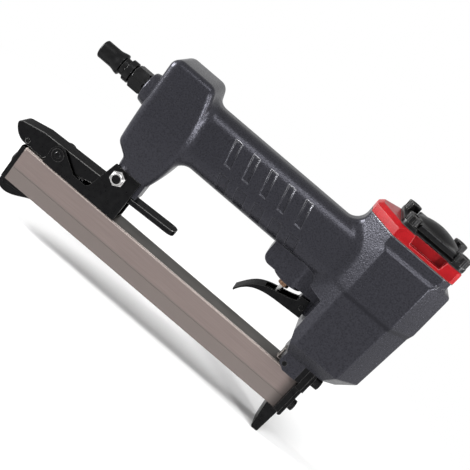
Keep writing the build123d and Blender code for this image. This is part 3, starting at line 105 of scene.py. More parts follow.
def addLamps():
    aim = Vector(cameraSpec["target"])
    for name, spec in lampSpec.items():
        bpy.ops.object.light_add(type="AREA", location=spec["place"])
        lamp = bpy.context.object
        lamp.name = name
        lamp.data.shape = "RECTANGLE"
        lamp.data.size, lamp.data.size_y = spec["size"]
        lamp.data.energy = spec["power"]
        lamp.rotation_mode = "QUATERNION"
        lamp.rotation_quaternion = (aim - Vector(spec["place"])).to_track_quat("-Z", "Y")
        lamp.visible_camera = False


def addMath(tree, operation, first, second):
    step = tree.nodes.new("ShaderNodeMath")
    step.operation = operation
    tree.links.new(first, step.inputs[0])
    tree.links.new(second, step.inputs[1])
    return step.outputs[0]


# rays that meet the white backdrop; the others meet the dim, even light
def seenRays(tree):
    path = tree.nodes.new("ShaderNodeLightPath")
    seen = addMath(tree, "MAXIMUM", path.outputs["Is Camera Ray"], path.outputs["Is Glossy Ray"])
    return addMath(tree, "MAXIMUM", seen, path.outputs["Is Transmission Ray"])


worldSpec = {"diffuse": 0.15, "backdrop": 1.0, "colour": (1, 1, 1, 1)}


def addWorld():
    world = bpy.data.worlds.new("studio")
    world.use_nodes = True
    bpy.context.scene.world = world
    tree = world.node_tree
    tree.nodes.clear()
    output = tree.nodes.new("ShaderNodeOutputWorld")
    mix = tree.nodes.new("ShaderNodeMixShader")
    tree.links.new(seenRays(tree), mix.inputs[0])
    for socket, strength in ((mix.inputs[1], worldSpec["diffuse"]), (mix.inputs[2], worldSpec["backdrop"])):
        light = tree.nodes.new("ShaderNodeBackground")
        light.inputs["Color"].default_value = worldSpec["colour"]
        light.inputs["Strength"].default_value = strength
        tree.links.new(light.outputs[0], socket)
    tree.links.new(mix.outputs[0], output.inputs["Surface"])


def startMaterial(name):
    material = bpy.data.materials.new(name)
    material.use_nodes = True
    tree = material.node_tree
    tree.nodes.clear()
    return material, tree, tree.nodes.new("ShaderNodeOutputMaterial")


floorSpec = {"size": 6.0, "drop": 0.0003, "tone": 0.93, "nearEdge": 0.04, "farEdge": 0.32}


def addFloor():
    middle = (cadBox[0] + cadBox[1]) / 2
    level = cadBox[0].z - floorSpec["drop"]
    bpy.ops.mesh.primitive_plane_add(size=floorSpec["size"], location=(0, 0, level))
    floor = bpy.context.object
    floor.name = "studio_floor"
    material, tree, output = startMaterial("studio_floor")
    mix = tree.nodes.new("ShaderNodeMixShader")
    matt = tree.nodes.new("ShaderNodeBsdfDiffuse")
    matt.inputs["Color"].default_value = (floorSpec["tone"],) * 3 + (1,)
    white = tree.nodes.new("ShaderNodeEmission")
    white.inputs["Color"].default_value = worldSpec["colour"]
    white.inputs["Strength"].default_value = worldSpec["backdrop"]
    place = tree.nodes.new("ShaderNodeTexCoord")
    reach = tree.nodes.new("ShaderNodeVectorMath")
    reach.operation = "DISTANCE"
    reach.inputs[1].default_value = (middle.x, middle.y, 0)
    fade = tree.nodes.new("ShaderNodeMapRange")  # the floor fades into the white backdrop
    fade.interpolation_type = "SMOOTHSTEP"
    fade.inputs["From Min"].default_value = floorSpec["nearEdge"]
    fade.inputs["From Max"].default_value = floorSpec["farEdge"]
    tree.links.new(place.outputs["Object"], reach.inputs[0])
    tree.links.new(reach.outputs["Value"], fade.inputs["Value"])
    tree.links.new(addMath(tree, "MULTIPLY", fade.outputs[0], seenRays(tree)), mix.inputs[0])
    tree.links.new(matt.outputs[0], mix.inputs[1])
    tree.links.new(white.outputs[0], mix.inputs[2])
    tree.links.new(mix.outputs[0], output.inputs["Surface"])
    floor.data.materials.append(material)


addCamera()
addLamps()
addWorld()
addFloor()
bpy.context.scene.view_settings.view_transform = "Standard"
print("stage: camera, lamps, world and floor")


# building blocks of the finishes; grains, depths and reaches are in millimetres
def startFinish(name):
    material, tree, output = startMaterial(name)
    shader = tree.nodes.new("ShaderNodeBsdfPrincipled")
    tree.links.new(shader.outputs["BSDF"], output.inputs["Surface"])
    return material, tree, shader


def objectPlace(tree, stretch=(1, 1, 1)):
    place = tree.nodes.new("ShaderNodeTexCoord")
    mapping = tree.nodes.new("ShaderNodeMapping")
    mapping.inputs["Scale"].default_value = stretch
    tree.links.new(place.outputs["Object"], mapping.inputs["Vector"])
    return mapping.outputs["Vector"]


def addNoise(tree, grain, detail, rough=0.5, stretch=(1, 1, 1)):
    noise = tree.nodes.new("ShaderNodeTexNoise")
    noise.inputs["Scale"].default_value = 1 / (grain * mm)
    noise.inputs["Detail"].default_value = detail
    noise.inputs["Roughness"].default_value = rough
    tree.links.new(objectPlace(tree, stretch), noise.inputs["Vector"])
    return noise.outputs["Fac"]


def addCells(tree, grain, soft):
    cells = tree.nodes.new("ShaderNodeTexVoronoi")
    cells.feature = "SMOOTH_F1"
    cells.inputs["Scale"].default_value = 1 / (grain * mm)
    cells.inputs["Smoothness"].default_value = soft
    tree.links.new(objectPlace(tree), cells.inputs["Vector"])
    return cells.outputs["Distance"]


noiseSpan = (0.3, 0.7)  # most values of a noise lie between these


def addRamp(tree, value, first, second, span=noiseSpan):
    ramp = tree.nodes.new("ShaderNodeValToRGB")
    for element, position, colour in zip(ramp.color_ramp.elements, span, (first, second)):
        element.position = position
        element.color = colour + (1,)
    tree.links.new(value, ramp.inputs["Fac"])
    return ramp.outputs["Color"]


def addRange(tree, value, low, high):
    spread = tree.nodes.new("ShaderNodeMapRange")
    spread.inputs["From Min"].default_value, spread.inputs["From Max"].default_value = noiseSpan
    spread.inputs["To Min"].default_value = low
    spread.inputs["To Max"].default_value = high
    tree.links.new(value, spread.inputs["Value"])
    return spread.outputs["Result"]


def addMix(tree, share, first, second):
    mix = tree.nodes.new("ShaderNodeMix")
    mix.data_type = "RGBA"
    tree.links.new(share, mix.inputs["Factor"])
    for socket, colour in ((mix.inputs[6], first), (mix.inputs[7], second)):  # the colour sockets A and B
        if isinstance(colour, tuple):
            socket.default_value = colour + (1,)
        else:
            tree.links.new(colour, socket)
    return mix.outputs[2]


def addBump(tree, shader, height, depth, strength, below=None):
    bump = tree.nodes.new("ShaderNodeBump")
    bump.inputs["Strength"].default_value = strength
    bump.inputs["Distance"].default_value = depth * mm
    tree.links.new(height, bump.inputs["Height"])
    if below is not None:
        tree.links.new(below, bump.inputs["Normal"])
    tree.links.new(bump.outputs["Normal"], shader.inputs["Normal"])
    return bump.outputs["Normal"]


# share of a finish that lies past a place along one axis
def addAbove(tree, start, fade=0.2, axis="Z"):
    place = tree.nodes.new("ShaderNodeTexCoord")
    split = tree.nodes.new("ShaderNodeSeparateXYZ")
    step = tree.nodes.new("ShaderNodeMapRange")
    step.interpolation_type = "SMOOTHSTEP"
    step.inputs["From Min"].default_value = start * mm
    step.inputs["From Max"].default_value = (start + fade) * mm
    tree.links.new(place.outputs["Object"], split.inputs[0])
    tree.links.new(split.outputs[axis], step.inputs["Value"])
    return step.outputs["Result"]


edgeHighlightMaskSpec = {"samples": 4, "startMatch": 0.985, "fullMatch": 0.90}


# mask for painted highlights on arrises: where a rounded normal leaves the flat one
def addEdgeHighlightMask(tree, reach):
    rounded = tree.nodes.new("ShaderNodeBevel")
    rounded.samples = edgeHighlightMaskSpec["samples"]
    rounded.inputs["Radius"].default_value = reach * mm
    flat = tree.nodes.new("ShaderNodeNewGeometry")
    match = tree.nodes.new("ShaderNodeVectorMath")
    match.operation = "DOT_PRODUCT"
    tree.links.new(rounded.outputs["Normal"], match.inputs[0])
    tree.links.new(flat.outputs["Normal"], match.inputs[1])
    edge = tree.nodes.new("ShaderNodeMapRange")
    edge.inputs["From Min"].default_value = edgeHighlightMaskSpec["startMatch"]
    edge.inputs["From Max"].default_value = edgeHighlightMaskSpec["fullMatch"]
    tree.links.new(match.outputs["Value"], edge.inputs["Value"])
    return edge.outputs["Result"]


# link a finish's colour and roughness, and set the shader's plain values
def setSurface(tree, shader, colour, roughness, values):
    tree.links.new(colour, shader.inputs["Base Color"])
    tree.links.new(roughness, shader.inputs["Roughness"])
    for socket, value in values.items():
        shader.inputs[socket].default_value = value


paintSpec = {
    "dark": (0.022, 0.022, 0.027),
    "light": (0.033, 0.033, 0.040),
    "veins": {"grain": 0.8, "detail": 3, "rough": 0.6},
    "veinSpan": (0.35, 0.65),
    "roughness": (0.24, 0.34),
    "shader": {"Metallic": 0.5, "Specular IOR Level": 0.15, "Specular Tint": (0.6, 0.6, 0.6, 1)},
    "dimples": {"grain": 0.9, "soft": 0.6},
    "dimpleDepth": 0.07,
    "orangePeel": {"grain": 0.7, "detail": 2},
    "peelDepth": 0.05,
    "bump": 0.8,
    # painted shade of a step round the head: the band's tone and its heights in millimetres
    "stepShadeTone": (0.017, 0.017, 0.021),
    "stepShadeFrom": 96.5,
    "stepShadeTo": 101.0,
    "stepShadeFade": 2.0,
    "headFrom": -26.0,
    "headFade": 3.0,
    # painted highlight on the arrises, lighter higher up
    "edgeHighlightLow": (0.060, 0.060, 0.068),
    "edgeHighlightHigh": (0.27, 0.27, 0.285),
    "edgeHighlightFrom": 112.0,
    "edgeHighlightFade": 8.0,
    "edgeHighlightReach": 0.7,
}


def hammeredPaint():
    spec = paintSpec
    material, tree, shader = startFinish("hammered_grey_paint")
    veins = addNoise(tree, **spec["veins"])
    mottle = addRamp(tree, veins, spec["dark"], spec["light"], spec["veinSpan"])
    # painted shade: a darker band round the head at mid-height, standing in for the shade under a step in
    # its side
    aboveFoot = addAbove(tree, spec["stepShadeFrom"], spec["stepShadeFade"])
    belowTop = addAbove(tree, spec["stepShadeTo"], -spec["stepShadeFade"])
    head = addAbove(tree, spec["headFrom"], spec["headFade"], "X")
    stepShade = addMath(tree, "MULTIPLY", addMath(tree, "MULTIPLY", aboveFoot, belowTop), head)
    tone = addMix(tree, stepShade, mottle, spec["stepShadeTone"])
    # painted highlight on the arrises, brightest high on the tool
    upper = addAbove(tree, spec["edgeHighlightFrom"], spec["edgeHighlightFade"])
    edgeHighlight = addMix(tree, upper, spec["edgeHighlightLow"], spec["edgeHighlightHigh"])
    colour = addMix(tree, addEdgeHighlightMask(tree, spec["edgeHighlightReach"]), tone, edgeHighlight)
    setSurface(tree, shader, colour, addRange(tree, veins, *spec["roughness"]), spec["shader"])
    dimples = addBump(tree, shader, addCells(tree, **spec["dimples"]), spec["dimpleDepth"], spec["bump"])
    peel = addNoise(tree, **spec["orangePeel"])
    addBump(tree, shader, peel, spec["peelDepth"], spec["bump"], dimples)
    return material


# a clouded coat with a painted highlight along its arrises
def coatWithEdgeHighlight(name, spec):
    material, tree, shader = startFinish(name)
    cloud = addNoise(tree, **spec["cloud"])
    coat = addRamp(tree, cloud, spec["dark"], spec["light"], spec["cloudSpan"])
    colour = addMix(tree, addEdgeHighlightMask(tree, spec["edgeHighlightReach"]), coat, spec["edgeHighlight"])
    setSurface(tree, shader, colour, addRange(tree, cloud, *spec["roughness"]), spec["shader"])
    addBump(tree, shader, addNoise(tree, **spec["skin"]), spec["skinDepth"], spec["bump"])
    return material


capSpec = {
    "dark": (0.21, 0.003, 0.005),
    "light": (0.28, 0.005, 0.008),
    "cloud": {"grain": 6, "detail": 3},
    "cloudSpan": (0.3, 0.6),
    # painted highlight along the cap's arrises
    "edgeHighlight": (0.60, 0.24, 0.24),
    "edgeHighlightReach": 0.3,
    "roughness": (0.30, 0.40),
    "shader": {"Specular IOR Level": 0.11},
    "skin": {"grain": 0.9, "detail": 2},
    "skinDepth": 0.03,
    "bump": 0.5,
}
blackSpec = {
    "dark": (0.009, 0.009, 0.0095),
    "light": (0.013, 0.013, 0.0135),
    "cloud": {"grain": 3, "detail": 4},
    "cloudSpan": noiseSpan,
    # painted highlight along the black parts' arrises
    "edgeHighlight": (0.14, 0.137, 0.133),
    "edgeHighlightReach": 0.25,
    "roughness": (0.24, 0.36),
    "shader": {"Metallic": 1.0, "Specular Tint": (0.5, 0.5, 0.5, 1)},
    "skin": {"grain": 0.35, "detail": 2},
    "skinDepth": 0.015,
    "bump": 0.5,
}
coverSpec = {
    **blackSpec,
    "dark": (0.015, 0.015, 0.0155),
    "light": (0.021, 0.021, 0.0215),
    # painted highlight along the cover's arrises
    "edgeHighlight": (0.12, 0.118, 0.115),
    "roughness": (0.26, 0.38),
    "shader": {"Metallic": 1.0, "Specular Tint": (0.62, 0.62, 0.62, 1)},
}
latchSpec = {**blackSpec, "edgeHighlight": (0.36, 0.355, 0.35), "edgeHighlightReach": 0.7}  # painted edge highlight, brighter and wider on the latch


magazineSpec = {
    "low": (0.155, 0.124, 0.116),
    "high": (0.186, 0.149, 0.139),
    "lines": {"grain": 0.5, "detail": 3, "rough": 0.6, "stretch": (0.02, 1, 1)},
    "cloud": {"grain": 14, "detail": 2},
    "roughness": (0.40, 0.5),
    "shader": {"Metallic": 0.3, "Specular IOR Level": 0.15},
    "lineDepth": 0.012,
    "bump": 0.5,
    "foot": (0.146, 0.124, 0.116),
    "footTo": 26.4,
    "footFade": 2.0,
    # painted shade: the top face darker, standing in for the shade and dark reflection under the body
    "top": (0.060, 0.054, 0.049),
    "topShadeFrom": 39.9,
    # painted highlight on the upper arrises
    "arrisHighlight": (0.70, 0.63, 0.58),
    "arrisHighlightFrom": 38.0,
    "arrisHighlightReach": 1.0,
    # painted shadow of the nose block, darkening the front end
    "front": (0.030, 0.025, 0.023),
    "frontFrom": -9.0,
    "frontFade": 9.0,
}


def anodisedAlloy():
    spec = magazineSpec
    material, tree, shader = startFinish("brown_anodised_alloy")
    lines = addNoise(tree, **spec["lines"])
    cloud = addNoise(tree, **spec["cloud"])
    drawn = addRamp(tree, lines, spec["low"], spec["high"])
    side = addMix(tree, addAbove(tree, spec["footTo"], spec["footFade"]), spec["foot"], drawn)
    # painted shade on the top face
    shadedTop = addMix(tree, addAbove(tree, spec["topShadeFrom"]), side, spec["top"])
    # painted highlight on the upper arrises only
    upper = addAbove(tree, spec["arrisHighlightFrom"])
    arrisHighlight = addMath(tree, "MULTIPLY", addEdgeHighlightMask(tree, spec["arrisHighlightReach"]), upper)
    highlitArris = addMix(tree, arrisHighlight, shadedTop, spec["arrisHighlight"])
    # painted shadow of the nose block over the front end
    front = addAbove(tree, spec["frontFrom"], spec["frontFade"], "X")
    colour = addMix(tree, front, highlitArris, spec["front"])
    setSurface(tree, shader, colour, addRange(tree, cloud, *spec["roughness"]), spec["shader"])
    addBump(tree, shader, lines, spec["lineDepth"], spec["bump"])
    return material


# a finish whose one grain gives colour, roughness and bump
def grainFinish(name, spec):
    material, tree, shader = startFinish(name)
    grain = addNoise(tree, **spec["grain"])
    colour = addRamp(tree, grain, spec["low"], spec["high"])
    setSurface(tree, shader, colour, addRange(tree, grain, *spec["roughness"]), spec["shader"])
    addBump(tree, shader, grain, spec["depth"], spec["bump"])
    return material


metalSpec = {
    "grain": {"grain": 0.5, "detail": 3, "rough": 0.6},
    "shader": {"Metallic": 1.0},
    "depth": 0.01,
    "bump": 0.4,
}
brightSpec = {
    **metalSpec,
    "low": (0.40, 0.40, 0.40),
    "high": (0.50, 0.49, 0.48),
    "grain": {"grain": 0.3, "detail": 3, "rough": 0.6, "stretch": (0.05, 1, 1)},
    "roughness": (0.26, 0.34),
}
turnedSpec = {
    **metalSpec,
    "low": (0.52, 0.52, 0.53),
    "high": (0.64, 0.64, 0.65),
    "grain": {**metalSpec["grain"], "stretch": (1, 1, 8)},
    "roughness": (0.28, 0.40),
}
copperSpec = {
    **metalSpec,
    "low": (0.06, 0.034, 0.022),
    "high": (0.28, 0.17, 0.11),
    "roughness": (0.18, 0.30),
}
springSteelSpec = {
    **metalSpec,
    "low": (0.34, 0.34, 0.35),
    "high": (0.48, 0.48, 0.49),
    "roughness": (0.26, 0.38),
}
rubberSpec = {
    "low": (0.012, 0.012, 0.012),
    "high": (0.024, 0.024, 0.024),
    "grain": {"grain": 0.8, "detail": 4},
    "roughness": (0.6, 0.8),
    "shader": {"Specular IOR Level": 0.3},
    "depth": 0.03,
    "bump": 0.5,
}


finishes = {
    "hammered_paint": hammeredPaint(),
    "red_cap": coatWithEdgeHighlight("satin_red_cap", capSpec),
    "black_steel": coatWithEdgeHighlight("blackened_steel", blackSpec),
    "black_cover": coatWithEdgeHighlight("black_gloss_coat", coverSpec),
    "black_latch": coatWithEdgeHighlight("black_steel_edge_highlight", latchSpec),
    "anodised_alloy": anodisedAlloy(),
    "bright_steel": grainFinish("bright_steel", brightSpec),
    "plain_alloy": grainFinish("turned_alloy", turnedSpec),
    "copper_brass": grainFinish("copper_brass", copperSpec),
    "black_rubber": grainFinish("black_rubber", rubberSpec),
    "spring_steel": grainFinish("spring_steel", springSteelSpec),
}
print("finishes:", len(finishes))


def setFinish(piece, finishName):
    piece.data.materials.clear()
    piece.data.materials.append(finishes[finishName])


# every solid wears the finish of its slot
slotOf = {entry["node"]: entry["material_slot"] for entry in frame["record"]["subparts"]}
for nodeName, slotName in slotOf.items():
    setFinish(nodes[nodeName], slotName)


bodyOf = {}
for bodyName, members in frame["record"]["behaviour"]["bodies"].items():
    bodyOf.update({nodeName: bodyName for nodeName in members})


def standIn(piece, nodeName, finish=None):
    slotName = slotOf[nodeName]
    setFinish(piece, finish or slotName)
    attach(piece, bodyOf[nodeName])
    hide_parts(nodeName)


# modelling steps shared by all pieces
def pickOnly(*pieces):
    bpy.ops.object.select_all(action="DESELECT")
    for piece in pieces:
        piece.select_set(True)
    bpy.context.view_layer.objects.active = pieces[0]


def editOn(piece, mode="FACE"):
    pickOnly(piece)
    bpy.ops.object.mode_set(mode="EDIT")
    bpy.ops.mesh.select_mode(type=mode)
    bpy.ops.mesh.select_all(action="DESELECT")
    return bmesh.from_edit_mesh(piece.data)


def editOff():
    bpy.ops.object.mode_set(mode="OBJECT")


# merge points that lie within a few thousandths of a millimetre
def mergeClose(reach=0.002):
    bpy.ops.mesh.select_all(action="SELECT")
    bpy.ops.mesh.remove_doubles(threshold=reach * mm)


def smoothOver(piece, sharpDegrees):
    pickOnly(piece)
    bpy.ops.object.shade_smooth_by_angle(angle=math.radians(sharpDegrees))


def evenNormals(piece):
    pickOnly(piece)
    modifier = piece.modifiers.new("even", "WEIGHTED_NORMAL")
    modifier.keep_sharp = True
    bpy.ops.object.modifier_apply(modifier=modifier.name)


easeShape = {"sharpDegrees": 32, "flatDegrees": 0.3, "segments": 2, "profile": 0.5}


def easeArrises(width):
    bpy.ops.mesh.dissolve_limited(angle_limit=math.radians(easeShape["flatDegrees"]))
    bpy.ops.mesh.select_all(action="DESELECT")
    bpy.ops.mesh.edges_select_sharp(sharpness=math.radians(easeShape["sharpDegrees"]))
    bpy.ops.mesh.bevel(
        offset=width * mm,
        segments=easeShape["segments"],
        profile=easeShape["profile"],
        clamp_overlap=False,
    )
    mergeClose()


# a merged copy of a solid, with its arrises eased so that they catch the light
def dressedCopy(nodeName, spec):
    piece = nodes[nodeName].copy()
    piece.data = nodes[nodeName].data.copy()
    piece.name = spec["name"]
    piece.parent = None
    for key in list(piece.keys()):
        del piece[key]
    bpy.context.scene.collection.objects.link(piece)
    editOn(piece, "EDGE")
    mergeClose()
    if spec["edge"] > 0:
        easeArrises(spec["edge"])
    editOff()
    bpy.ops.mesh.customdata_custom_splitnormals_clear()
    smoothOver(piece, easeShape["sharpDegrees"])
    if spec["edge"] > 0:
        evenNormals(piece)
    return piece


# pieces that keep the solid's shape: the eased width of each one's arrises in millimetres
dressedSpec = {
    "gun_body": {"name": "body_casting", "edge": 0.0},
    "cylinder_cap": {"name": "red_cap_shell", "edge": 0.25},
    "exhaust_cover": {"name": "cover_plate", "edge": 0.2, "finish": "black_cover"},
    "air_plug": {"name": "hose_plug", "edge": 0.15, "finish": "black_cover"},
    "magazine_housing": {"name": "magazine_shell", "edge": 0.12},
    "magazine_bracket": {"name": "pressed_bracket", "edge": 0.2},
    "latch_lever": {"name": "pressed_latch", "edge": 0.25, "finish": "black_latch"},
    "rail_end_cap": {"name": "rail_end", "edge": 0.25},
    "trigger": {"name": "pressed_trigger", "edge": 0.2},
    "nose_block": {"name": "nose_tip", "edge": 0.2},
    "nose_plate": {"name": "nose_cover", "edge": 0.25},
    "driver_guide": {"name": "guide_plate", "edge": 0.15},
    "valve_bushing": {"name": "valve_bush", "edge": 0.15},
    "valve_stem": {"name": "valve_needle", "edge": 0.1},
    "magazine_rail": {"name": "staple_rail", "edge": 0.1},
    "pusher": {"name": "staple_pusher", "edge": 0.2},
    "driver_blade": {"name": "drive_blade", "edge": 0.1},
    "trigger_pin": {"name": "trigger_axle", "edge": 0.2},
    "latch_catch_pin": {"name": "latch_catch", "edge": 0.2},
    "magazine_pin": {"name": "skirt_pin", "edge": 0.2},
    "pusher_rod": {"name": "spring_rod", "edge": 0.2},
}
for nodeName, spec in dressedSpec.items():
    piece = dressedCopy(nodeName, spec)
    standIn(piece, nodeName, spec.get("finish"))
    print("dressed:", piece.name, len(piece.data.polygons), "faces")


# modelling steps of the fasteners and springs
def newCylinder(sides, radius, height, base=0.0):
    bpy.ops.object.select_all(action="DESELECT")
    middle = (0, 0, (base + height / 2) * mm)
    bpy.ops.mesh.primitive_cylinder_add(
        vertices=sides, radius=radius * mm, depth=height * mm, location=middle
    )
    piece = bpy.context.object
    bpy.ops.object.transform_apply(location=True, rotation=True, scale=True)
    return piece


endShape = {"facing": 0.99, "levelSlip": 0.001}


# pick the end face that looks up (way 1) or down (way -1)
def pickEnd(piece, way):
    shape = editOn(piece)
    ends = [face for face in shape.faces if face.normal.z * way > endShape["facing"]]
    extreme = max(face.calc_center_median().z * way for face in ends)
    for face in ends:
        face.select_set(face.calc_center_median().z * way > extreme - endShape["levelSlip"] * mm)
    bmesh.update_edit_mesh(piece.data)


# step an end face inwards and out along its normal, once for each pair of millimetres
def stepEnd(piece, way, *steps):
    pickEnd(piece, way)
    for inwards, outwards in steps:
        bpy.ops.mesh.inset(thickness=inwards * mm, depth=outwards * mm)
    editOff()


# steps of a quarter round, from an upright side to a flat end
def quarterRound(radius, count):
    angles = [math.pi / 2 * k / count for k in range(count + 1)]
    across = [radius * (1 - math.cos(angle)) for angle in angles]
    along = [radius * math.sin(angle) for angle in angles]
    return [(across[k + 1] - across[k], along[k + 1] - along[k]) for k in range(count)]


def shapeWith(piece, tool, operation):
    pickOnly(piece)
    modifier = piece.modifiers.new("shape", "BOOLEAN")
    modifier.operation = operation
    modifier.solver = "EXACT"
    modifier.object = tool
    bpy.ops.object.modifier_apply(modifier=modifier.name)
    bpy.data.objects.remove(tool)
    editOn(piece, "VERT")
    mergeClose()
    editOff()


# how a piece that is modelled upright is turned to look along a way
turnTo = {
    "+Z": (0, 0, 0),
    "+X": (0, math.pi / 2, 0),
    "-X": (0, -math.pi / 2, 0),
    "+Y": (-math.pi / 2, 0, 0),
    "-Y": (math.pi / 2, 0, 0),
}


def placedCopy(piece, place, way):
    copy = piece.copy()
    copy.data = piece.data.copy()
    bpy.context.scene.collection.objects.link(copy)
    copy.rotation_euler = turnTo[way]
    copy.location = place
    pickOnly(copy)
    bpy.ops.object.transform_apply(location=True, rotation=True, scale=True)
    return copy


def joinAs(name, *pieces):
    pickOnly(*pieces)
    if len(pieces) > 1:
        bpy.ops.object.join()
    piece = bpy.context.view_layer.objects.active
    piece.name = name
    return piece


# socket screws, each modelled head up with its seat on the origin: knurled, or smooth with a domed edge
screwSpec = {
    "cap_bolts": {
        "name": "cover_screws", "way": "+Z", "grid": (2, 2, 1), "head": 4.1, "height": 4.6, "shank": 2.5
    },
    "nose_screws": {
        "name": "nose_screw_pair", "way": "+X", "grid": (1, 2, 1), "head": 3.4, "height": 4.2, "shank": 2.0
    },
    "tip_screw": {
        "name": "tip_fixing", "way": "+X", "grid": (1, 1, 1), "head": 3.4, "height": 3.8, "shank": 1.7
    },
    "bracket_bolt": {
        "name": "leg_bolt", "way": "+Y", "grid": (1, 1, 1), "head": 4.2, "height": 4.4, "shank": 2.5
    },
    "bracket_screws": {
        "name": "bracket_fixings", "way": "+Z", "grid": (2, 1, 1), "head": 2.7, "height": 2.0, "shank": 1.5
    },
    "end_cap_screw": {
        "name": "end_fixing", "way": "-X", "grid": (1, 1, 1), "head": 3.8, "height": 2.0, "shank": 1.2,
        "dome": 1.4,
    },
}
screwShape = {
    "ridges": 28,
    "ridge": 0.97,
    "rim": 0.32,
    "domeSteps": 6,
    "socketSides": 6,
    "socket": 0.56,
    "depth": 0.55,
    "shankSides": 32,
    "point": 0.4,
}
fastenerSharp = 25  # degrees past which a fastener's edge stays crisp


# every other upright edge is drawn in for the knurl
def knurl(screw):
    shape = editOn(screw, "VERT")
    for vertex in shape.verts:
        step = round(math.atan2(vertex.co.y, vertex.co.x) * screwShape["ridges"] / math.pi)
        vertex.select_set(step % 2 == 1)
    bmesh.update_edit_mesh(screw.data)
    bpy.ops.transform.resize(value=(screwShape["ridge"], screwShape["ridge"], 1), center_override=(0, 0, 0))
    editOff()


def socketScrew(spec, length):
    head, height = spec["head"], spec["height"]
    rim, point = screwShape["rim"], screwShape["point"]
    edge = spec.get("dome", rim)
    screw = newCylinder(2 * screwShape["ridges"], head, height - edge)
    if "dome" in spec:
        stepEnd(screw, 1, *quarterRound(edge, screwShape["domeSteps"]))
    else:
        knurl(screw)
        stepEnd(screw, 1, (edge, edge))
    bottom = height * screwShape["depth"]
    socket = newCylinder(screwShape["socketSides"], head * screwShape["socket"], height, bottom)
    shapeWith(screw, socket, "DIFFERENCE")
    shank = newCylinder(screwShape["shankSides"], spec["shank"], length - point + rim, point - length)
    stepEnd(shank, -1, (point, point))
    shapeWith(screw, shank, "UNION")
    return screw


# a way such as "+X" as the number of its axis and its sign
def readWay(way):
    return "XYZ".index(way[1]), 1 if way[0] == "+" else -1


def screwSeats(low, high, spec):
    along, out = readWay(spec["way"])
    centre = (low + high) / 2
    spots = []
    for axis in range(3):
        half = (high - low)[axis] / 2 - spec["head"] * mm
        pair = [centre[axis] - half, centre[axis] + half]
        spots.append(pair[: spec["grid"][axis]])
    spots[along] = [(high if out > 0 else low)[along] - out * spec["height"] * mm]
    return [Vector((x, y, z)) for x in spots[0] for y in spots[1] for z in spots[2]]


for nodeName, spec in screwSpec.items():
    low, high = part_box(nodeName)
    along = readWay(spec["way"])[0]
    screw = socketScrew(spec, (high - low)[along] / mm - spec["height"])
    copies = [placedCopy(screw, seat, spec["way"]) for seat in screwSeats(low, high, spec)]
    bpy.data.objects.remove(screw)
    piece = joinAs(spec["name"], *copies)
    smoothOver(piece, fastenerSharp)
    standIn(piece, nodeName)
    print("screws:", piece.name, len(copies))


# lock nut on the leg's bolt: a hexagon with eased corners and a round collar
nutSpec = {
    "name": "leg_nut",
    "sides": 6,
    "corner": 4.62,
    "hexagon": 2.6,
    "bevel": 0.55,
    "roundSides": 64,
    "collar": 3.7,
    "collarSide": 0.5,  # share of the collar's height that is upright
    "collarSteps": ((0.12, 0.3), (0.25, 0.2)),  # millimetres inwards, shares of the height
    "boreSides": 48,
    "bore": 2.55,
}


def lockNut(height):
    hexagon, bevel = nutSpec["hexagon"], nutSpec["bevel"]
    nut = newCylinder(nutSpec["sides"], nutSpec["corner"], hexagon)
    disc = newCylinder(nutSpec["roundSides"], nutSpec["corner"], hexagon - bevel)
    stepEnd(disc, 1, (2 * bevel, bevel))
    shapeWith(nut, disc, "INTERSECT")
    ring = height - hexagon
    collar = newCylinder(nutSpec["roundSides"], nutSpec["collar"], hexagon + nutSpec["collarSide"] * ring)
    stepEnd(collar, 1, *[(inwards, share * ring) for inwards, share in nutSpec["collarSteps"]])
    shapeWith(nut, collar, "UNION")
    bore = newCylinder(nutSpec["boreSides"], nutSpec["bore"], 2 * height, -height / 2)
    shapeWith(nut, bore, "DIFFERENCE")
    return nut


low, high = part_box("bracket_nut")
nut = lockNut((high - low).y / mm)
seat = ((low.x + high.x) / 2, high.y, (low.z + high.z) / 2)
piece = joinAs(nutSpec["name"], placedCopy(nut, seat, "-Y"))
bpy.data.objects.remove(nut)
smoothOver(piece, fastenerSharp)
standIn(piece, "bracket_nut")


# rivet through the bracket's ears: a dished washer and a domed head at each end
rivetSpec = {
    "name": "latch_rivet",
    "sides": 48,
    "washer": 3.7,
    "thick": 0.45,
    "lip": (0.2, 0.1),  # width and rise
    "dome": 1.9,
    "domeSteps": 5,
    "top": 0.3,
    "head": 1.4,
    "pin": 2.2,
}


def rivetHalf(reach):
    rivet = newCylinder(rivetSpec["sides"], rivetSpec["washer"], rivetSpec["thick"])
    width, rise = rivetSpec["lip"]
    dish = ((width, rise), (rivetSpec["washer"] - rivetSpec["dome"] - width, -rise))
    across = rivetSpec["dome"] - rivetSpec["top"]
    along = rivetSpec["head"] - rivetSpec["thick"]
    steps = quarterRound(1, rivetSpec["domeSteps"])
    dome = [(across * inwards, along * outwards) for inwards, outwards in steps]
    stepEnd(rivet, 1, *dish, *dome)
    stepEnd(rivet, -1, (rivetSpec["washer"] - rivetSpec["pin"], 0), (0, reach))
    return rivet


low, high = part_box("latch_pivot_pin")
centre = (low + high) / 2
reach = (high - low).y / 2 / mm - rivetSpec["head"]
rivet = rivetHalf(reach)
halves = []
for side, way in ((1, "+Y"), (-1, "-Y")):
    halves.append(placedCopy(rivet, (centre.x, centre.y + side * reach * mm, centre.z), way))
bpy.data.objects.remove(rivet)
shapeWith(halves[0], halves[1], "UNION")
piece = joinAs(rivetSpec["name"], halves[0])
smoothOver(piece, fastenerSharp)
standIn(piece, "latch_pivot_pin")
print("nut and rivet made")
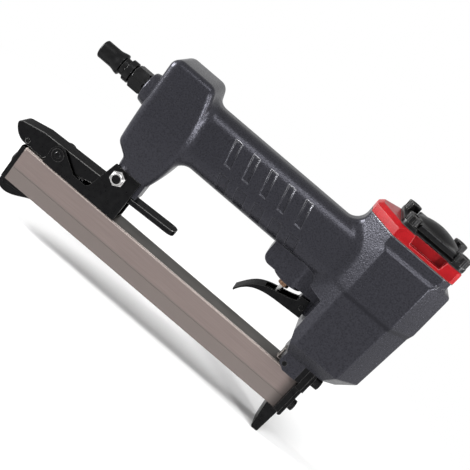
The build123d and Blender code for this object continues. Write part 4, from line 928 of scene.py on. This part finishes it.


# wound springs with a closed turn at each end
springSpec = {
    "pusher_spring": {
        "name": "pusher_coil", "mean": 2.45, "wire": 0.36, "turns": 58,
        "joint": "pusher_slide", "keep": 0.3, "axis": 0, "held": "low",
    },
    "latch_spring": {
        "name": "latch_coil", "mean": 2.6, "wire": 0.45, "turns": 5,
        "joint": "latch_press", "keep": 0.85, "axis": 2, "held": "low",
    },
    "head_valve_spring": {
        "name": "head_valve_coil", "mean": 7.2, "wire": 0.55, "turns": 5,
        "joint": "head_valve_lift", "keep": 0.83, "axis": 2, "held": "high",
    },
    "valve_spring": {
        "name": "valve_coil", "mean": 2.5, "wire": 0.38, "turns": 4,
        "joint": "valve_stem_lift", "keep": 0.62, "axis": 2, "held": "high",
    },
}
coilShape = {"sides": 8, "steps": 18, "closedPitch": 2.05, "mergeReach": 0.005, "sharpDegrees": 50}


def coilRun(spec, base, turnCount, pitch):
    bpy.ops.object.select_all(action="DESELECT")
    start = (spec["mean"] * mm, 0, base * mm)
    bpy.ops.mesh.primitive_circle_add(
        vertices=coilShape["sides"], radius=spec["wire"] * mm, location=start, rotation=(math.pi / 2, 0, 0)
    )
    run = bpy.context.object
    bpy.ops.object.transform_apply(location=True, rotation=True, scale=True)
    modifier = run.modifiers.new("wind", "SCREW")
    modifier.axis = "Z"
    modifier.angle = 2 * math.pi
    modifier.iterations = turnCount
    modifier.screw_offset = pitch * mm
    modifier.steps = coilShape["steps"]
    modifier.render_steps = coilShape["steps"]
    bpy.ops.object.modifier_apply(modifier=modifier.name)
    return run


def coilSpring(spec, length):
    wire = spec["wire"]
    closed = coilShape["closedPitch"] * wire
    openPitch = (length - 2 * wire - 2 * closed) / spec["turns"]
    first = coilRun(spec, wire, 1, closed)
    middle = coilRun(spec, wire + closed, spec["turns"], openPitch)
    last = coilRun(spec, length - wire - closed, 1, closed)
    coil = joinAs("coil", first, middle, last)
    editOn(coil, "VERT")
    mergeClose(coilShape["mergeReach"])
    bpy.ops.mesh.select_all(action="SELECT")
    bpy.ops.mesh.fill_holes(sides=coilShape["sides"])
    bpy.ops.mesh.select_all(action="SELECT")
    bpy.ops.mesh.normals_make_consistent(inside=False)
    editOff()
    return coil


for nodeName, spec in springSpec.items():
    low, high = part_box(nodeName)
    axis = spec["axis"]
    coil = coilSpring(spec, (high - low)[axis] / mm)
    foot = (low + high) / 2
    foot[axis] = low[axis]
    piece = joinAs(spec["name"], placedCopy(coil, foot, "+X" if axis == 0 else "+Z"))
    bpy.data.objects.remove(coil)
    smoothOver(piece, coilShape["sharpDegrees"])
    standIn(piece, nodeName)
    anchor = (low + high) / 2
    anchor[axis] = (low if spec["held"] == "low" else high)[axis]
    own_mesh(piece)
    print("spring:", piece.name, len(piece.data.polygons), "faces")
